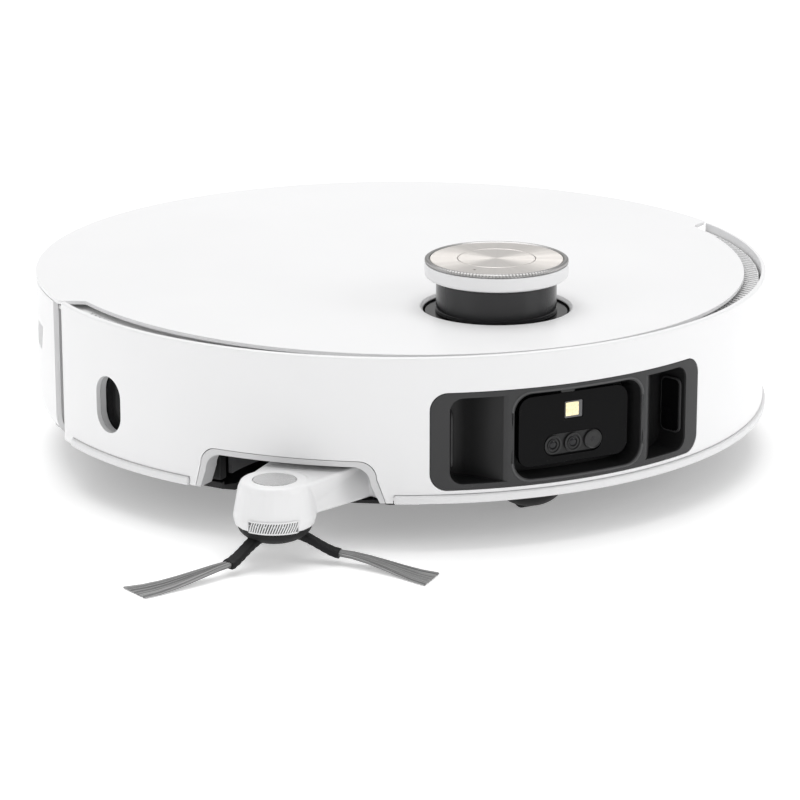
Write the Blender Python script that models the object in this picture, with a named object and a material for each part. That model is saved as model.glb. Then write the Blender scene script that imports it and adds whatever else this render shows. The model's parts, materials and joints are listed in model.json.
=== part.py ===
"""Round robotic floor cleaner with a raised laser turret and a side brush swung out on its arm.

Units are metres. Pieces are made with the floor at z = 0 and the body's axis on the Z axis; the
robot's front faces -Y and its side brush is on the -X side. At the end everything moves so that the
origin is under the middle of the whole. Bearings are degrees from the front, positive towards +X.
"""

import math

import bmesh
import bpy
from mathutils import Matrix, Vector

MM = 0.001
FIT = 0.3 * MM                 # gap kept between two pieces that touch
CUT_OVER = 4 * MM              # how far a cutter runs past what it cuts

# Overall sizes
BODY_RADIUS = 175 * MM
LID_TOP = 88 * MM
FACETS = 72                    # facets in a full turn of the body
ROUND_FACETS = 40              # facets of the turret's pieces
SMALL_FACETS = 28              # facets of wheels, hubs and the like
FINE_FACETS = 16               # facets of pins and bores

# Lid
LID_THICKNESS = 1.8 * MM
LID_EDGE_ROUND = 0.6 * MM
GRIP_DEPTH = 7.7 * MM          # how far the finger gaps bite into the lid
GRIP_PEAK = 75.0               # bearing where a finger gap is deepest
LID_STEP = (88.8, 91.6)        # bearings between which the lid widens to the rear shell

# Bumper
BUMPER_END = 90.2
BUMPER_WALL = 2.2 * MM
BUMPER_BOTTOM = 22 * MM
BUMPER_TRAVEL = 1.5 * MM
SEAM_SPARE = 0.2 * MM          # seam left at the front when the bumper is pushed home
LIP_TOP = 25.6 * MM
LIP_BOTTOM = 21.75 * MM
LIP_PROUD = 1.4 * MM
LIP_THICKNESS = 3.6 * MM
LIP_ARCS = ((-87.0, -59.5), (-28.2, 87.0))

# Camera window in the bumper
WINDOW_HALF = 23.0
WINDOW_LOW = 27.4 * MM
WINDOW_HIGH = 72 * MM
WINDOW_CORNER = 8 * MM
FRAME_DEPTH = 7 * MM
BAY_HALF = (11.5, 20.1)        # bearings of a side bay's two ends
BAY_BORDER = 2.4 * MM          # frame above and below the bays and the ring
BAY_CORNER = 5 * MM
RING_HALF = 10.65              # half bearing of the ring's opening
RING_CORNER = 8.5 * MM
GLASS_SIZE = (55.4 * MM, 32.2 * MM)
GLASS_CORNER = 6 * MM
GLASS_SET_BACK = 7.3 * MM      # glass face behind the bumper's front
GLASS_THICKNESS = 2 * MM
LIGHT_SIZE = (9.5 * MM, 8.1 * MM)
LIGHT_UP = 7.9 * MM            # light's centre above the glass centre
LENS_RADIUS = 4.2 * MM
LENS_PITCH = 10.2 * MM
LENS_DOWN = 6.4 * MM           # lens row below the glass centre
LENS_PROUD = 0.5 * MM
HOUSING_DEPTH = 12 * MM

# Side sensors
SENSOR_BEARING = 76.3
SENSOR_WIDTH = 18.3 * MM
SENSOR_LOW = 36 * MM
SENSOR_HIGH = 62.5 * MM
SENSOR_LAP = 1.2 * MM

# Side brush arch
ARCH_LOW = (-58.55, -29.2)
ARCH_HIGH = (-57.6, -30.5)
ARCH_TOP = 41 * MM
ARCH_CORNER = 8 * MM
TRIM_WIDTH = 3.3 * MM
TRIM_DEPTH = 9 * MM
TRIM_SHALLOW = 2.7 * MM        # depth from the arch's middle on, ahead of the arm

# Rear shell
SHELL_START = 93.8
SHELL_WALL = 2.5 * MM
SHELL_BOTTOM = 20 * MM
SHELL_CURL = 9 * MM            # how far the bottom edge rolls in
SHELL_LEDGE = 6 * MM
TONGUE_END = 86.0              # the shell's tongue closes the channel behind the bumper's end
TONGUE_WALL = 2.6 * MM
TONGUE_GAP = 1.6 * MM
VENT_COUNT = 5
VENT_BEARING = 104.0
VENT_PITCH = 2.6 * MM
VENT_LENGTH = 13 * MM
VENT_WIDTH = 1.3 * MM
VENT_HEIGHT = 62 * MM
VENT_LEAN = 20.0

# Rear fittings
CONTACT_BEARING = 11.0
CONTACT_SIZE = (14 * MM, 12 * MM)
CONTACT_HEIGHT = 38 * MM
DOCK_WINDOW_SIZE = (52 * MM, 12 * MM)
DOCK_WINDOW_HEIGHT = 60 * MM
POCKET_DEPTH = 1.2 * MM

# Deck under the lid
DECK_THICKNESS = 2 * MM
GRIP_FLOOR_DROP = 4 * MM       # finger gap floor below the lid's top
DECK_RIM = (19 * MM, 16 * MM)  # rim's inner and outer faces, in from the body's edge
POST_RADIUS = 4 * MM
POST_PLACES = ((-136 * MM, -46 * MM), (136 * MM, -46 * MM))

# Floor pan
PAN_BOTTOM = 13 * MM
PAN_THICKNESS = 3 * MM
PAN_SET_IN = 11.8 * MM         # pan's edge in from the body's edge
PAN_SLOPE = 15.2 * MM          # width of the pan's sloping edge
PAN_RIM = (18.2 * MM, 21 * MM)

# Turret
TURRET_SET_BACK = 79.3 * MM    # turret's axis behind the bumper's front
TURRET_RISE = 22.6 * MM        # turret's top above the lid's
TURRET_DROP = 22 * MM
CAP_RADIUS = 32.8 * MM
CAP_HEIGHT = 6.6 * MM
KNURL_HEIGHT = 1.9 * MM
DISC_RADIUS = 30.4 * MM
BUTTON_RADIUS = 17.7 * MM
DISC_THICKNESS = 1.0 * MM
COLUMN_RADIUS = 27.9 * MM
COLUMN_WALL = 1.8 * MM
PLATE_RADIUS = 32.8 * MM
PLATE_DROP = 2.2 * MM          # turret plate below the lid's top
PLATE_THICKNESS = 1.7 * MM
STEM_RADIUS = 8 * MM
STEM_LENGTH = 33 * MM
HOLE_CLEAR = 0.8 * MM          # round the cap in the lid's hole
HOLE_CHAMFER = 1.3 * MM
WELL_WALL = 2 * MM
WELL_FLOOR = 2 * MM
WELL_SPARE = 1.6 * MM
FLANGE_WIDTH = 6 * MM
ROTOR_RADIUS = 19 * MM
ROTOR_HEIGHT = 9 * MM
ROTOR_LIFT = 3 * MM

# Side brush arm
HUB_OUT = 18.1 * MM            # hub's axis beyond the body's edge
HUB_BEARING = -43.56
PIVOT_IN = 15.55 * MM          # pivot's axis inside the body's edge
PIVOT_BEARING = -28.65
ARM_SWING = 50.0
HUB_ANGLE = 180.0              # angle of the swung-out hub from +X, about the pivot
SWEEP_END = 225.0              # angle that clears the hub's far side
ARM_TOP = 36.5 * MM
ARM_BOTTOM = 20 * MM
ARM_BAR_STEP = 0.8 * MM        # bar's top below the hub's
ARM_FACE_LEANS = (18.0, 27.0)  # how the front face's bottom and top lean back from the X axis
ARM_FACE_SHORT = 8 * MM        # where the face ends, short of the pivot
ARM_FACE_OUT = (11.4 * MM, 15.4 * MM)  # front face's bottom and top from the hub's axis
ARM_PIVOT_RADIUS = 6.6 * MM
ARM_BACK_IN = 15 * MM          # corner at the back of the bar, inside the body's edge
ARM_BACK_BEARING = -47.5
HUB_RADII = (17.4 * MM, 18.3 * MM, 15.6 * MM)
HUB_HEIGHTS = (17 * MM, 20.5 * MM, 36.5 * MM)
ARM_DISC_RADIUS = 9.4 * MM
ARM_DISC_DEPTH = 0.8 * MM
PIN_RADIUS = 4 * MM
PIN_HEIGHT = 44 * MM
DOME_RADIUS = 16.4 * MM
DOME_BOTTOM = 8.5 * MM
BRUSH_RADIUS = 75 * MM
BRUSH_BEARINGS = (190.8, 310.6, 70.7)   # tips, degrees from +X
BRUSH_TRAIL = 10.0             # rubber arms lead the tips by this angle
RUBBER_END = (29 * MM, 4.6 * MM)        # radius and height of the rubber arms' ends
RUBBER_SIZE = (6.2 * MM, 3.4 * MM)
BRISTLE_END_SIZE = (17.8 * MM, 1.2 * MM)
BRISTLE_START_SIZE = (4.6 * MM, 1.8 * MM)
BRISTLE_FLOOR = 0.2 * MM
BRISTLE_GAP = 0.9 * MM         # between a rubber arm's end and its bristles
POCKET_MARGIN = 2.5 * MM
GUARD_WALL = 2 * MM
GUARD_TOP = 46 * MM

# Caster
CASTER_SET_BACK = 47 * MM      # swivel's axis behind the bumper's front
CASTER_TRAIL = 3 * MM          # wheel behind the swivel's axis
CASTER_RADIUS = 16 * MM
CASTER_BOTTOM = 1.6 * MM
CASTER_WHEEL_RADIUS = 7 * MM
CASTER_WHEEL_WIDTH = 9 * MM
CASTER_SOCKET_TOP = 34 * MM
CASTER_WALL = 2.4 * MM

# Drive wheels
WHEEL_OFFSET = 116 * MM
WHEEL_BACK = 10 * MM
WHEEL_RADIUS = 36 * MM
WHEEL_WIDTH = 20 * MM
TYRE_DEPTH = 5 * MM
WHEEL_CLEAR = 4 * MM
SWING_PLACE = (-38 * MM, 44 * MM)       # y and z of the suspension pivot
SWING_RADIUS = 9 * MM
SWING_WIDTH = 12 * MM
SWING_GAP = 1.5 * MM
AXLE_RADIUS = 4 * MM

# Main roller
ROLLER_BACK = -10 * MM
ROLLER_HEIGHT = 22.5 * MM
ROLLER_RADIUS = 20.5 * MM
ROLLER_ROOT = 15 * MM
ROLLER_HALF = 82 * MM
ROLLER_FINS = 6
ROLLER_TWIST = 100.0
HOOD_CLEAR = 2 * MM
HOOD_WALL = 1.8 * MM
MOUTH_HALF = (90 * MM, 27 * MM)
GUARD_RIM = 9 * MM
GUARD_HEIGHT = 3 * MM

# Mops
MOP_OFFSET = 58 * MM
MOP_RADIUS = 54 * MM
MOP_OVERHANG = 17 * MM         # mop's edge in from the body's rear edge
PAD_THICKNESS = 7 * MM
PLATE_HEIGHT = 4 * MM
SPINDLE_RADIUS = 5 * MM
SPINDLE_TOP = 34 * MM
BAY_CLEAR = 3 * MM
BAY_FLOOR = (20.5 * MM, 22.5 * MM)
DRIVE_BOX = (76 * MM, 14 * MM, 4 * MM)  # half length, half width, height of the mop drive

# Inside
BIN_HALF = 78 * MM
BIN_BACK = 36 * MM
BIN_CLEAR = 4.1 * MM           # between the turret well's flange and the bin
BIN_WALL = 1.8 * MM
BIN_INLET = (55 * MM, 8 * MM)
TANK_HALF = 86 * MM
TANK_SPAN = (44 * MM, 132 * MM)
TANK_HEIGHT = 29.4 * MM
BATTERY_SIZE = (140 * MM, 38 * MM, 21 * MM)
BATTERY_FRONT = 42 * MM
FAN_PLACE = (104 * MM, -84 * MM)
FAN_RADIUS = 27 * MM
FAN_HEIGHT = 50 * MM
FAN_EYE_DEPTH = 8 * MM
CLIFF_BEARINGS = (-20.0, 24.0)
CLIFF_SET_IN = 46 * MM
CLIFF_SIZE = (16 * MM, 8 * MM, 1.2 * MM)

# What follows from the sizes above
LID_BOTTOM = LID_TOP - LID_THICKNESS
BUMPER_INNER = BODY_RADIUS - BUMPER_WALL
LID_FRONT = BUMPER_INNER - BUMPER_TRAVEL - SEAM_SPARE
DECK_TOP = LID_TOP - GRIP_FLOOR_DROP
DECK_BOTTOM = DECK_TOP - DECK_THICKNESS
SHELL_TOP = LID_BOTTOM - FIT
SHELL_INNER = BODY_RADIUS - SHELL_WALL
WINDOW_MID = (WINDOW_LOW + WINDOW_HIGH) / 2
HOLE_RADIUS = CAP_RADIUS + HOLE_CLEAR
WELL_INNER = HOLE_RADIUS
WELL_OUTER = WELL_INNER + WELL_WALL
TURRET_AHEAD = BODY_RADIUS - TURRET_SET_BACK
TURRET_TOP = LID_TOP + TURRET_RISE
CAP_TOP = TURRET_TOP - KNURL_HEIGHT
CAP_BOTTOM = CAP_TOP - CAP_HEIGHT
PLATE_TOP = LID_TOP - PLATE_DROP
PLATE_BOTTOM = PLATE_TOP - PLATE_THICKNESS
WELL_BASE = PLATE_BOTTOM - TURRET_DROP - WELL_SPARE
PAN_TOP = PAN_BOTTOM + PAN_THICKNESS
PAN_RADIUS = BODY_RADIUS - PAN_SET_IN
PAN_FLAT_RADIUS = PAN_RADIUS - PAN_SLOPE
GLASS_FRONT = BODY_RADIUS - GLASS_SET_BACK
CASTER_AHEAD = BODY_RADIUS - CASTER_SET_BACK
MOP_PLACE = (MOP_OFFSET, BODY_RADIUS - MOP_OVERHANG - MOP_RADIUS)
HOOD_TOP = ROLLER_HEIGHT + ROLLER_RADIUS + HOOD_CLEAR + HOOD_WALL
BIN_FRONT = WELL_OUTER + FLANGE_WIDTH + BIN_CLEAR - TURRET_AHEAD
BIN_LOW = (-BIN_HALF, BIN_FRONT, HOOD_TOP + FIT)
BIN_HIGH = (BIN_HALF, BIN_BACK, DECK_BOTTOM - FIT)
WHEEL_INNER_FACE = WHEEL_OFFSET - WHEEL_WIDTH / 2
SWING_OUTER_FACE = WHEEL_INNER_FACE - SWING_GAP
FRAME_INNER = BODY_RADIUS - FRAME_DEPTH

FINISHES = {}


def polar(radius, bearing):
    """The point at a radius and a bearing from the front."""
    angle = math.radians(bearing)
    return radius * math.sin(angle), -radius * math.cos(angle)


HUB_PLACE = polar(BODY_RADIUS + HUB_OUT, HUB_BEARING)
PIVOT_PLACE = polar(BODY_RADIUS - PIVOT_IN, PIVOT_BEARING)
ARM_BACK = polar(BODY_RADIUS - ARM_BACK_IN, ARM_BACK_BEARING)
ARM_LENGTH = math.hypot(HUB_PLACE[0] - PIVOT_PLACE[0], HUB_PLACE[1] - PIVOT_PLACE[1])


def finish(name, colour, roughness, metallic=0.0):
    """A plain Principled material, made once for each name."""
    if name not in FINISHES:
        material = bpy.data.materials.new(name)
        material.use_nodes = True
        shader = material.node_tree.nodes["Principled BSDF"]
        shader.inputs["Base Color"].default_value = (*colour, 1.0)
        shader.inputs["Roughness"].default_value = roughness
        shader.inputs["Metallic"].default_value = metallic
        material.diffuse_color = (*colour, 1.0)
        FINISHES[name] = material
    return FINISHES[name]


def white_shell():
    return finish("white_shell", (0.86, 0.86, 0.86), 0.35)


def light_trim():
    return finish("light_trim", (0.74, 0.74, 0.74), 0.4)


def dark_frame():
    return finish("dark_frame", (0.07, 0.07, 0.07), 0.5)


def black_gloss():
    return finish("black_gloss", (0.008, 0.008, 0.009), 0.08)


def black_plastic():
    return finish("black_plastic", (0.02, 0.02, 0.021), 0.5)


def grey_plastic():
    return finish("grey_plastic", (0.22, 0.22, 0.23), 0.5)


def champagne_metal():
    return finish("champagne_metal", (0.72, 0.66, 0.61), 0.3, 1.0)


def bright_metal():
    return finish("bright_metal", (0.62, 0.62, 0.62), 0.25, 1.0)


def black_rubber():
    return finish("black_rubber", (0.025, 0.025, 0.025), 0.75)


def grey_bristle():
    return finish("grey_bristle", (0.25, 0.25, 0.25), 0.6)


def mop_cloth():
    return finish("mop_cloth", (0.35, 0.38, 0.42), 0.9)


def warm_light():
    return finish("warm_light", (0.95, 0.85, 0.5), 0.4)


def clear_tank():
    return finish("clear_tank", (0.25, 0.26, 0.28), 0.2)


def clear_scene():
    for item in list(bpy.data.objects):
        bpy.data.objects.remove(item, do_unlink=True)


def spread(start, end, count):
    """count + 1 values from start to end."""
    return [start + (end - start) * step / count for step in range(count + 1)]


def make(name, mesh, material):
    """Link a bmesh as an object with outward faces."""
    bmesh.ops.recalc_face_normals(mesh, faces=mesh.faces)
    data = bpy.data.meshes.new(name)
    mesh.to_mesh(data)
    mesh.free()
    thing = bpy.data.objects.new(name, data)
    bpy.context.scene.collection.objects.link(thing)
    if material is not None:
        data.materials.append(material)
    data.shade_smooth()
    data.set_sharp_from_angle(angle=math.radians(30))
    return thing


def turned(name, profile, material, centre=(0, 0), start=0.0, end=360.0, facets=FACETS):
    """Turn a closed profile of (radius, height) points round a vertical axis through centre."""
    mesh = bmesh.new()
    whole = abs(end - start) >= 360.0
    steps = facets if whole else max(2, math.ceil(facets * (end - start) / 360.0))
    columns = steps if whole else steps + 1
    rings = []
    for radius, height in profile:
        if radius == 0:
            ring = [mesh.verts.new((centre[0], centre[1], height))] * columns
        else:
            ring = []
            for step in range(columns):
                x, y = polar(radius, start + (end - start) * step / steps)
                ring.append(mesh.verts.new((centre[0] + x, centre[1] + y, height)))
        rings.append(ring)
    for index, first in enumerate(rings):
        second = rings[(index + 1) % len(rings)]
        for step in range(steps):
            after = (step + 1) % columns
            corners = [first[step], first[after], second[after], second[step]]
            unique = list(dict.fromkeys(corners))
            if len(unique) > 2:
                mesh.faces.new(unique)
    if not whole:
        mesh.faces.new([ring[0] for ring in rings])
        mesh.faces.new([ring[-1] for ring in rings])
    return make(name, mesh, material)


def prism(name, outline, low, high, material, top_outline=None):
    """Extrude a closed (x, y) outline between two heights, to another outline if one is given."""
    mesh = bmesh.new()
    base = [mesh.verts.new((x, y, low)) for x, y in outline]
    top = [mesh.verts.new((x, y, high)) for x, y in top_outline or outline]
    mesh.faces.new(base)
    mesh.faces.new(top)
    for index in range(len(outline)):
        after = (index + 1) % len(outline)
        mesh.faces.new((base[index], base[after], top[after], top[index]))
    return make(name, mesh, material)


def curved_panel(name, columns, inner, outer, material):
    """A slab that follows the body's wall: columns are (bearing, low, high) from end to end."""
    mesh = bmesh.new()
    rows = []
    for bearing, low, high in columns:
        near = polar(inner, bearing)
        far = polar(outer, bearing)
        corners = ((*near, low), (*far, low), (*far, high), (*near, high))
        rows.append([mesh.verts.new(corner) for corner in corners])
    for first, second in zip(rows, rows[1:]):
        for index in range(4):
            after = (index + 1) % 4
            mesh.faces.new((first[index], first[after], second[after], second[index]))
    mesh.faces.new(rows[0])
    mesh.faces.new(rows[-1])
    return make(name, mesh, material)


def box(name, low, high, material):
    outline = [(low[0], low[1]), (high[0], low[1]), (high[0], high[1]), (low[0], high[1])]
    return prism(name, outline, low[2], high[2], material)


def rounded_rectangle(half_width, half_height, corner, steps=5):
    """Points of a rounded rectangle about the origin."""
    points = []
    for turn, (sx, sy) in enumerate(((1, 1), (-1, 1), (-1, -1), (1, -1))):
        for step in range(steps + 1):
            angle = math.radians(90 * turn + 90 * step / steps)
            x = sx * (half_width - corner) + corner * math.cos(angle)
            y = sy * (half_height - corner) + corner * math.sin(angle)
            points.append((x, y))
    return points


def window_columns(low_bearing, high_bearing, low, high, corner, steps=4, between=8):
    """Columns of a rounded rectangle laid on the body's wall."""
    lap = math.degrees(corner / BODY_RADIUS)
    columns = []
    for step in range(steps + 1):
        angle = math.radians(90 * step / steps)
        drop = corner * (1 - math.sin(angle))
        columns.append((low_bearing + lap * (1 - math.cos(angle)), low + drop, high - drop))
    middle = spread(low_bearing + lap, high_bearing - lap, between)[1:-1]
    columns += [(bearing, low, high) for bearing in middle]
    for step in range(steps + 1):
        angle = math.radians(90 * step / steps)
        drop = corner * (1 - math.cos(angle))
        columns.append((high_bearing - lap * (1 - math.sin(angle)), low + drop, high - drop))
    return columns


def pill_columns(bearing, half_width, low, high, steps=5):
    """Columns of an upright pill laid on the body's wall."""
    columns = []
    for step in range(2 * steps + 1):
        across = -math.cos(math.pi * step / (2 * steps))
        rise = half_width * (1 - math.sqrt(1 - across * across))
        turn = math.degrees(across * half_width / BODY_RADIUS)
        columns.append((bearing + turn, low + rise, high - rise))
    return columns


def arch_columns(inset, bottom, steps=4):
    """Columns of the side-brush arch, its edge moved in by inset."""
    turn = math.degrees(inset / BODY_RADIUS)
    low = (ARCH_LOW[0] + turn, ARCH_LOW[1] - turn)
    high = (ARCH_HIGH[0] + turn, ARCH_HIGH[1] - turn)
    top = ARCH_TOP - inset
    lap = math.degrees(ARCH_CORNER / BODY_RADIUS)
    sill = BUMPER_BOTTOM
    left = []
    right = []
    for share in spread(0, 1, 4):
        height = sill + share * (top - ARCH_CORNER - sill)
        left.append((low[0] + (high[0] - low[0]) * share, height))
        right.append((low[1] + (high[1] - low[1]) * share, height))
    for step in range(1, steps + 1):
        angle = math.radians(90 * step / steps)
        height = top - ARCH_CORNER * (1 - math.sin(angle))
        left.append((high[0] + lap * (1 - math.cos(angle)), height))
        right.append((high[1] - lap * (1 - math.cos(angle)), height))
    middle = spread(left[-1][0], right[-1][0], 8)[1:-1]
    outline = left + [(bearing, top) for bearing in middle] + right[::-1]
    return [(bearing, bottom, height) for bearing, height in outline]


def hide(cutter):
    cutter.hide_render = True
    cutter.display_type = "WIRE"


def combine(thing, other, operation):
    hide(other)
    step = thing.modifiers.new(other.name, "BOOLEAN")
    step.operation = operation
    step.solver = "EXACT"
    step.object = other


def cut(thing, *cutters):
    for cutter in cutters:
        combine(thing, cutter, "DIFFERENCE")


def join(thing, *others):
    for other in others:
        combine(thing, other, "UNION")


def soften(thing, width, segments=2):
    """Round the edges sharper than 40 degrees."""
    step = thing.modifiers.new("soften", "BEVEL")
    step.width = width
    step.segments = segments
    step.limit_method = "ANGLE"
    step.angle_limit = math.radians(40)


def set_origin(thing, point):
    """Put a moving piece's origin on its joint's axis."""
    thing.data.transform(Matrix.Translation(-Vector(point)))
    thing.location = point


def lie_along_x(thing, centre):
    """Turn a piece that was made about the Z axis so that its axis runs along X at centre."""
    thing.data.transform(Matrix.Rotation(math.radians(90), 4, "Y"))
    thing.location = centre


def lid_radius(bearing):
    """Radius of the lid's edge at a bearing of 0 to 180."""
    bite = math.sin(math.radians(min(bearing, LID_STEP[0]) * 90 / GRIP_PEAK)) ** 2
    narrow = LID_FRONT - GRIP_DEPTH * bite
    share = (bearing - LID_STEP[0]) / (LID_STEP[1] - LID_STEP[0])
    share = max(0.0, min(1.0, share))
    return narrow + (BODY_RADIUS - narrow) * share


def lid():
    bearings = spread(0, 84, 21) + list(LID_STEP) + spread(95, 180, 17)
    right = [polar(lid_radius(bearing), bearing) for bearing in bearings]
    left = [(-x, y) for x, y in right[-2:0:-1]]
    cover = prism("lid", right + left, LID_BOTTOM, LID_TOP, white_shell())
    soften(cover, LID_EDGE_ROUND, 1)
    chamfer = LID_TOP - HOLE_CHAMFER
    wide = HOLE_RADIUS + HOLE_CHAMFER + CUT_OVER
    profile = (
        (0, LID_TOP + CUT_OVER),
        (wide, LID_TOP + CUT_OVER),
        (HOLE_RADIUS, chamfer),
        (HOLE_RADIUS, LID_BOTTOM - CUT_OVER),
        (0, LID_BOTTOM - CUT_OVER),
    )
    cut(cover, turned("lid_hole", profile, None, centre=(0, -TURRET_AHEAD)))


def bumper():
    profile = (
        (BUMPER_INNER, BUMPER_BOTTOM),
        (BODY_RADIUS - 0.5 * MM, BUMPER_BOTTOM),
        (BODY_RADIUS, BUMPER_BOTTOM + 0.5 * MM),
        (BODY_RADIUS, LID_TOP - 1.1 * MM),
        (BODY_RADIUS - 0.3 * MM, LID_TOP - 0.4 * MM),
        (BODY_RADIUS - 1.0 * MM, LID_TOP),
        (BUMPER_INNER + 0.3 * MM, LID_TOP),
        (BUMPER_INNER, LID_TOP - 0.3 * MM),
    )
    shell = turned("bumper", profile, white_shell(), start=-BUMPER_END, end=BUMPER_END)
    inner = BUMPER_INNER - CUT_OVER
    outer = BODY_RADIUS + CUT_OVER
    window = window_columns(-WINDOW_HALF, WINDOW_HALF, WINDOW_LOW, WINDOW_HIGH, WINDOW_CORNER)
    cut(shell, curved_panel("window_cut", window, inner, outer, None))
    for side in (-1, 1):
        pill = pill_columns(side * SENSOR_BEARING, SENSOR_WIDTH / 2, SENSOR_LOW, SENSOR_HIGH)
        cut(shell, curved_panel(f"sensor_cut{side}", pill, inner, outer, None))
    arch = arch_columns(0, BUMPER_BOTTOM - CUT_OVER)
    cut(shell, curved_panel("arch_cut", arch, inner, outer, None))
    for index, (start, end) in enumerate(LIP_ARCS):
        columns = [(b, BUMPER_BOTTOM - CUT_OVER, LIP_TOP + FIT) for b in spread(start, end, 24)]
        cut(shell, curved_panel(f"lip_cut{index}", columns, inner, outer, None))


def lips():
    """Soft strips along the bumper's lower edge, either side of the arch."""
    outer = BODY_RADIUS + LIP_PROUD
    turn = math.degrees(FIT / BODY_RADIUS)
    for name, (start, end) in zip(("lip_right", "lip_left"), LIP_ARCS):
        bearings = spread(start + turn, end - turn, max(6, round((end - start) / 5)))
        columns = [(bearing, LIP_BOTTOM, LIP_TOP) for bearing in bearings]
        curved_panel(name, columns, outer - LIP_THICKNESS, outer, light_trim())


def arch_trim():
    """Light border with a deep return round the side-brush arch."""
    bottom = BUMPER_BOTTOM
    outer_edge = arch_columns(FIT, bottom)
    trim = curved_panel("arch_trim", outer_edge, BODY_RADIUS - TRIM_DEPTH, BODY_RADIUS, light_trim())
    opening = arch_columns(FIT + TRIM_WIDTH, bottom - CUT_OVER)
    inner = BODY_RADIUS - TRIM_DEPTH - CUT_OVER
    cut(trim, curved_panel("arch_opening", opening, inner, BODY_RADIUS + CUT_OVER, None))
    middle = (ARCH_HIGH[0] + ARCH_HIGH[1]) / 2
    bearings = spread(middle, ARCH_LOW[1] + 2, 8)
    columns = [(bearing, bottom - CUT_OVER, ARCH_TOP + CUT_OVER) for bearing in bearings]
    cut(trim, curved_panel("trim_relief", columns, inner, BODY_RADIUS - TRIM_SHALLOW, None))
    reach = ARM_LENGTH + HUB_RADII[1] + FIT
    path = arm_sweep(ARM_PIVOT_RADIUS, reach, park_angle(), HUB_ANGLE, 40)
    cut(trim, prism("hub_path", path, bottom - CUT_OVER, HUB_HEIGHTS[2] + FIT, None))


def window_frame():
    """Dark frame with a ring in the middle and an open bay on each side."""
    turn = math.degrees(FIT / BODY_RADIUS)
    half = WINDOW_HALF - turn
    low = WINDOW_LOW + FIT
    high = WINDOW_HIGH - FIT
    columns = window_columns(-half, half, low, high, WINDOW_CORNER)
    frame = curved_panel("window_frame", columns, FRAME_INNER, BODY_RADIUS, dark_frame())
    inner = FRAME_INNER - CUT_OVER
    outer = BODY_RADIUS + CUT_OVER
    low = WINDOW_LOW + BAY_BORDER
    high = WINDOW_HIGH - BAY_BORDER
    ring = window_columns(-RING_HALF, RING_HALF, low, high, RING_CORNER)
    cut(frame, curved_panel("ring_cut", ring, inner, outer, None))
    for side in (-1, 1):
        ends = sorted(side * bearing for bearing in BAY_HALF)
        bay = window_columns(ends[0], ends[1], low, high, BAY_CORNER, between=4)
        cut(frame, curved_panel(f"bay_cut{side}", bay, inner, outer, None))


def camera_housing():
    """Black block behind the frame, hollowed behind the ring and the bays."""
    outer = FRAME_INNER - FIT
    inner = outer - HOUSING_DEPTH
    half = WINDOW_HALF - 0.6
    columns = window_columns(-half, half, WINDOW_LOW, WINDOW_HIGH, WINDOW_CORNER)
    block = curved_panel("camera_housing", columns, inner, outer, black_plastic())
    low = WINDOW_LOW + BAY_BORDER
    high = WINDOW_HIGH - BAY_BORDER
    ring = window_columns(-RING_HALF, RING_HALF, low, high, RING_CORNER)
    floor = GLASS_FRONT - GLASS_THICKNESS - FIT - 3 * MM
    cut(block, curved_panel("glass_pocket", ring, floor, BODY_RADIUS, None))
    for side in (-1, 1):
        ends = sorted(side * bearing for bearing in BAY_HALF)
        bay = window_columns(ends[0], ends[1], low, high, BAY_CORNER, between=4)
        cut(block, curved_panel(f"bay_pocket{side}", bay, inner + 3 * MM, BODY_RADIUS, None))


def facing_front(thing, front):
    """Stand a flat piece made in the XY plane upright, its top face at -Y and distance front."""
    thing.data.transform(Matrix.Rotation(math.radians(90), 4, "X"))
    thing.data.transform(Matrix.Translation((0, -front, WINDOW_MID)))


def camera_glass():
    outline = rounded_rectangle(GLASS_SIZE[0] / 2, GLASS_SIZE[1] / 2, GLASS_CORNER)
    glass = prism("camera_glass", outline, -GLASS_THICKNESS, 0, black_gloss())
    facing_front(glass, GLASS_FRONT)
    gap = FIT
    width = LIGHT_SIZE[0] / 2 + gap
    height = LIGHT_SIZE[1] / 2 + gap
    hole = rounded_rectangle(width, height, 1 * MM, steps=2)
    hole = [(x, y + LIGHT_UP) for x, y in hole]
    window = prism("light_hole", hole, -CUT_OVER, CUT_OVER, None)
    facing_front(window, GLASS_FRONT)
    cut(glass, window)
    for index in (-1, 0, 1):
        facets = [math.radians(15 * step) for step in range(24)]
        radius = LENS_RADIUS + gap
        centre = index * LENS_PITCH
        hole = [(centre + radius * math.cos(a), radius * math.sin(a) - LENS_DOWN) for a in facets]
        opening = prism(f"lens_hole{index}", hole, -CUT_OVER, CUT_OVER, None)
        facing_front(opening, GLASS_FRONT)
        cut(glass, opening)


def status_light():
    outline = rounded_rectangle(LIGHT_SIZE[0] / 2, LIGHT_SIZE[1] / 2, 0.8 * MM, steps=2)
    outline = [(x, y + LIGHT_UP) for x, y in outline]
    light = prism("status_light", outline, -GLASS_THICKNESS, -0.2 * MM, warm_light())
    facing_front(light, GLASS_FRONT)


def lenses():
    """Three round camera lenses, each a shallow dome."""
    for name, index in (("lens_right", -1), ("lens_middle", 0), ("lens_left", 1)):
        profile = (
            (0, LENS_PROUD * 0.6),
            (LENS_RADIUS * 0.5, LENS_PROUD * 0.45),
            (LENS_RADIUS * 0.8, LENS_PROUD),
            (LENS_RADIUS, LENS_PROUD * 0.8),
            (LENS_RADIUS, -GLASS_THICKNESS),
            (0, -GLASS_THICKNESS),
        )
        lens = turned(name, profile, black_gloss(), facets=FINE_FACETS)
        lens.data.transform(Matrix.Translation((index * LENS_PITCH, -LENS_DOWN, 0)))
        facing_front(lens, GLASS_FRONT)


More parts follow.
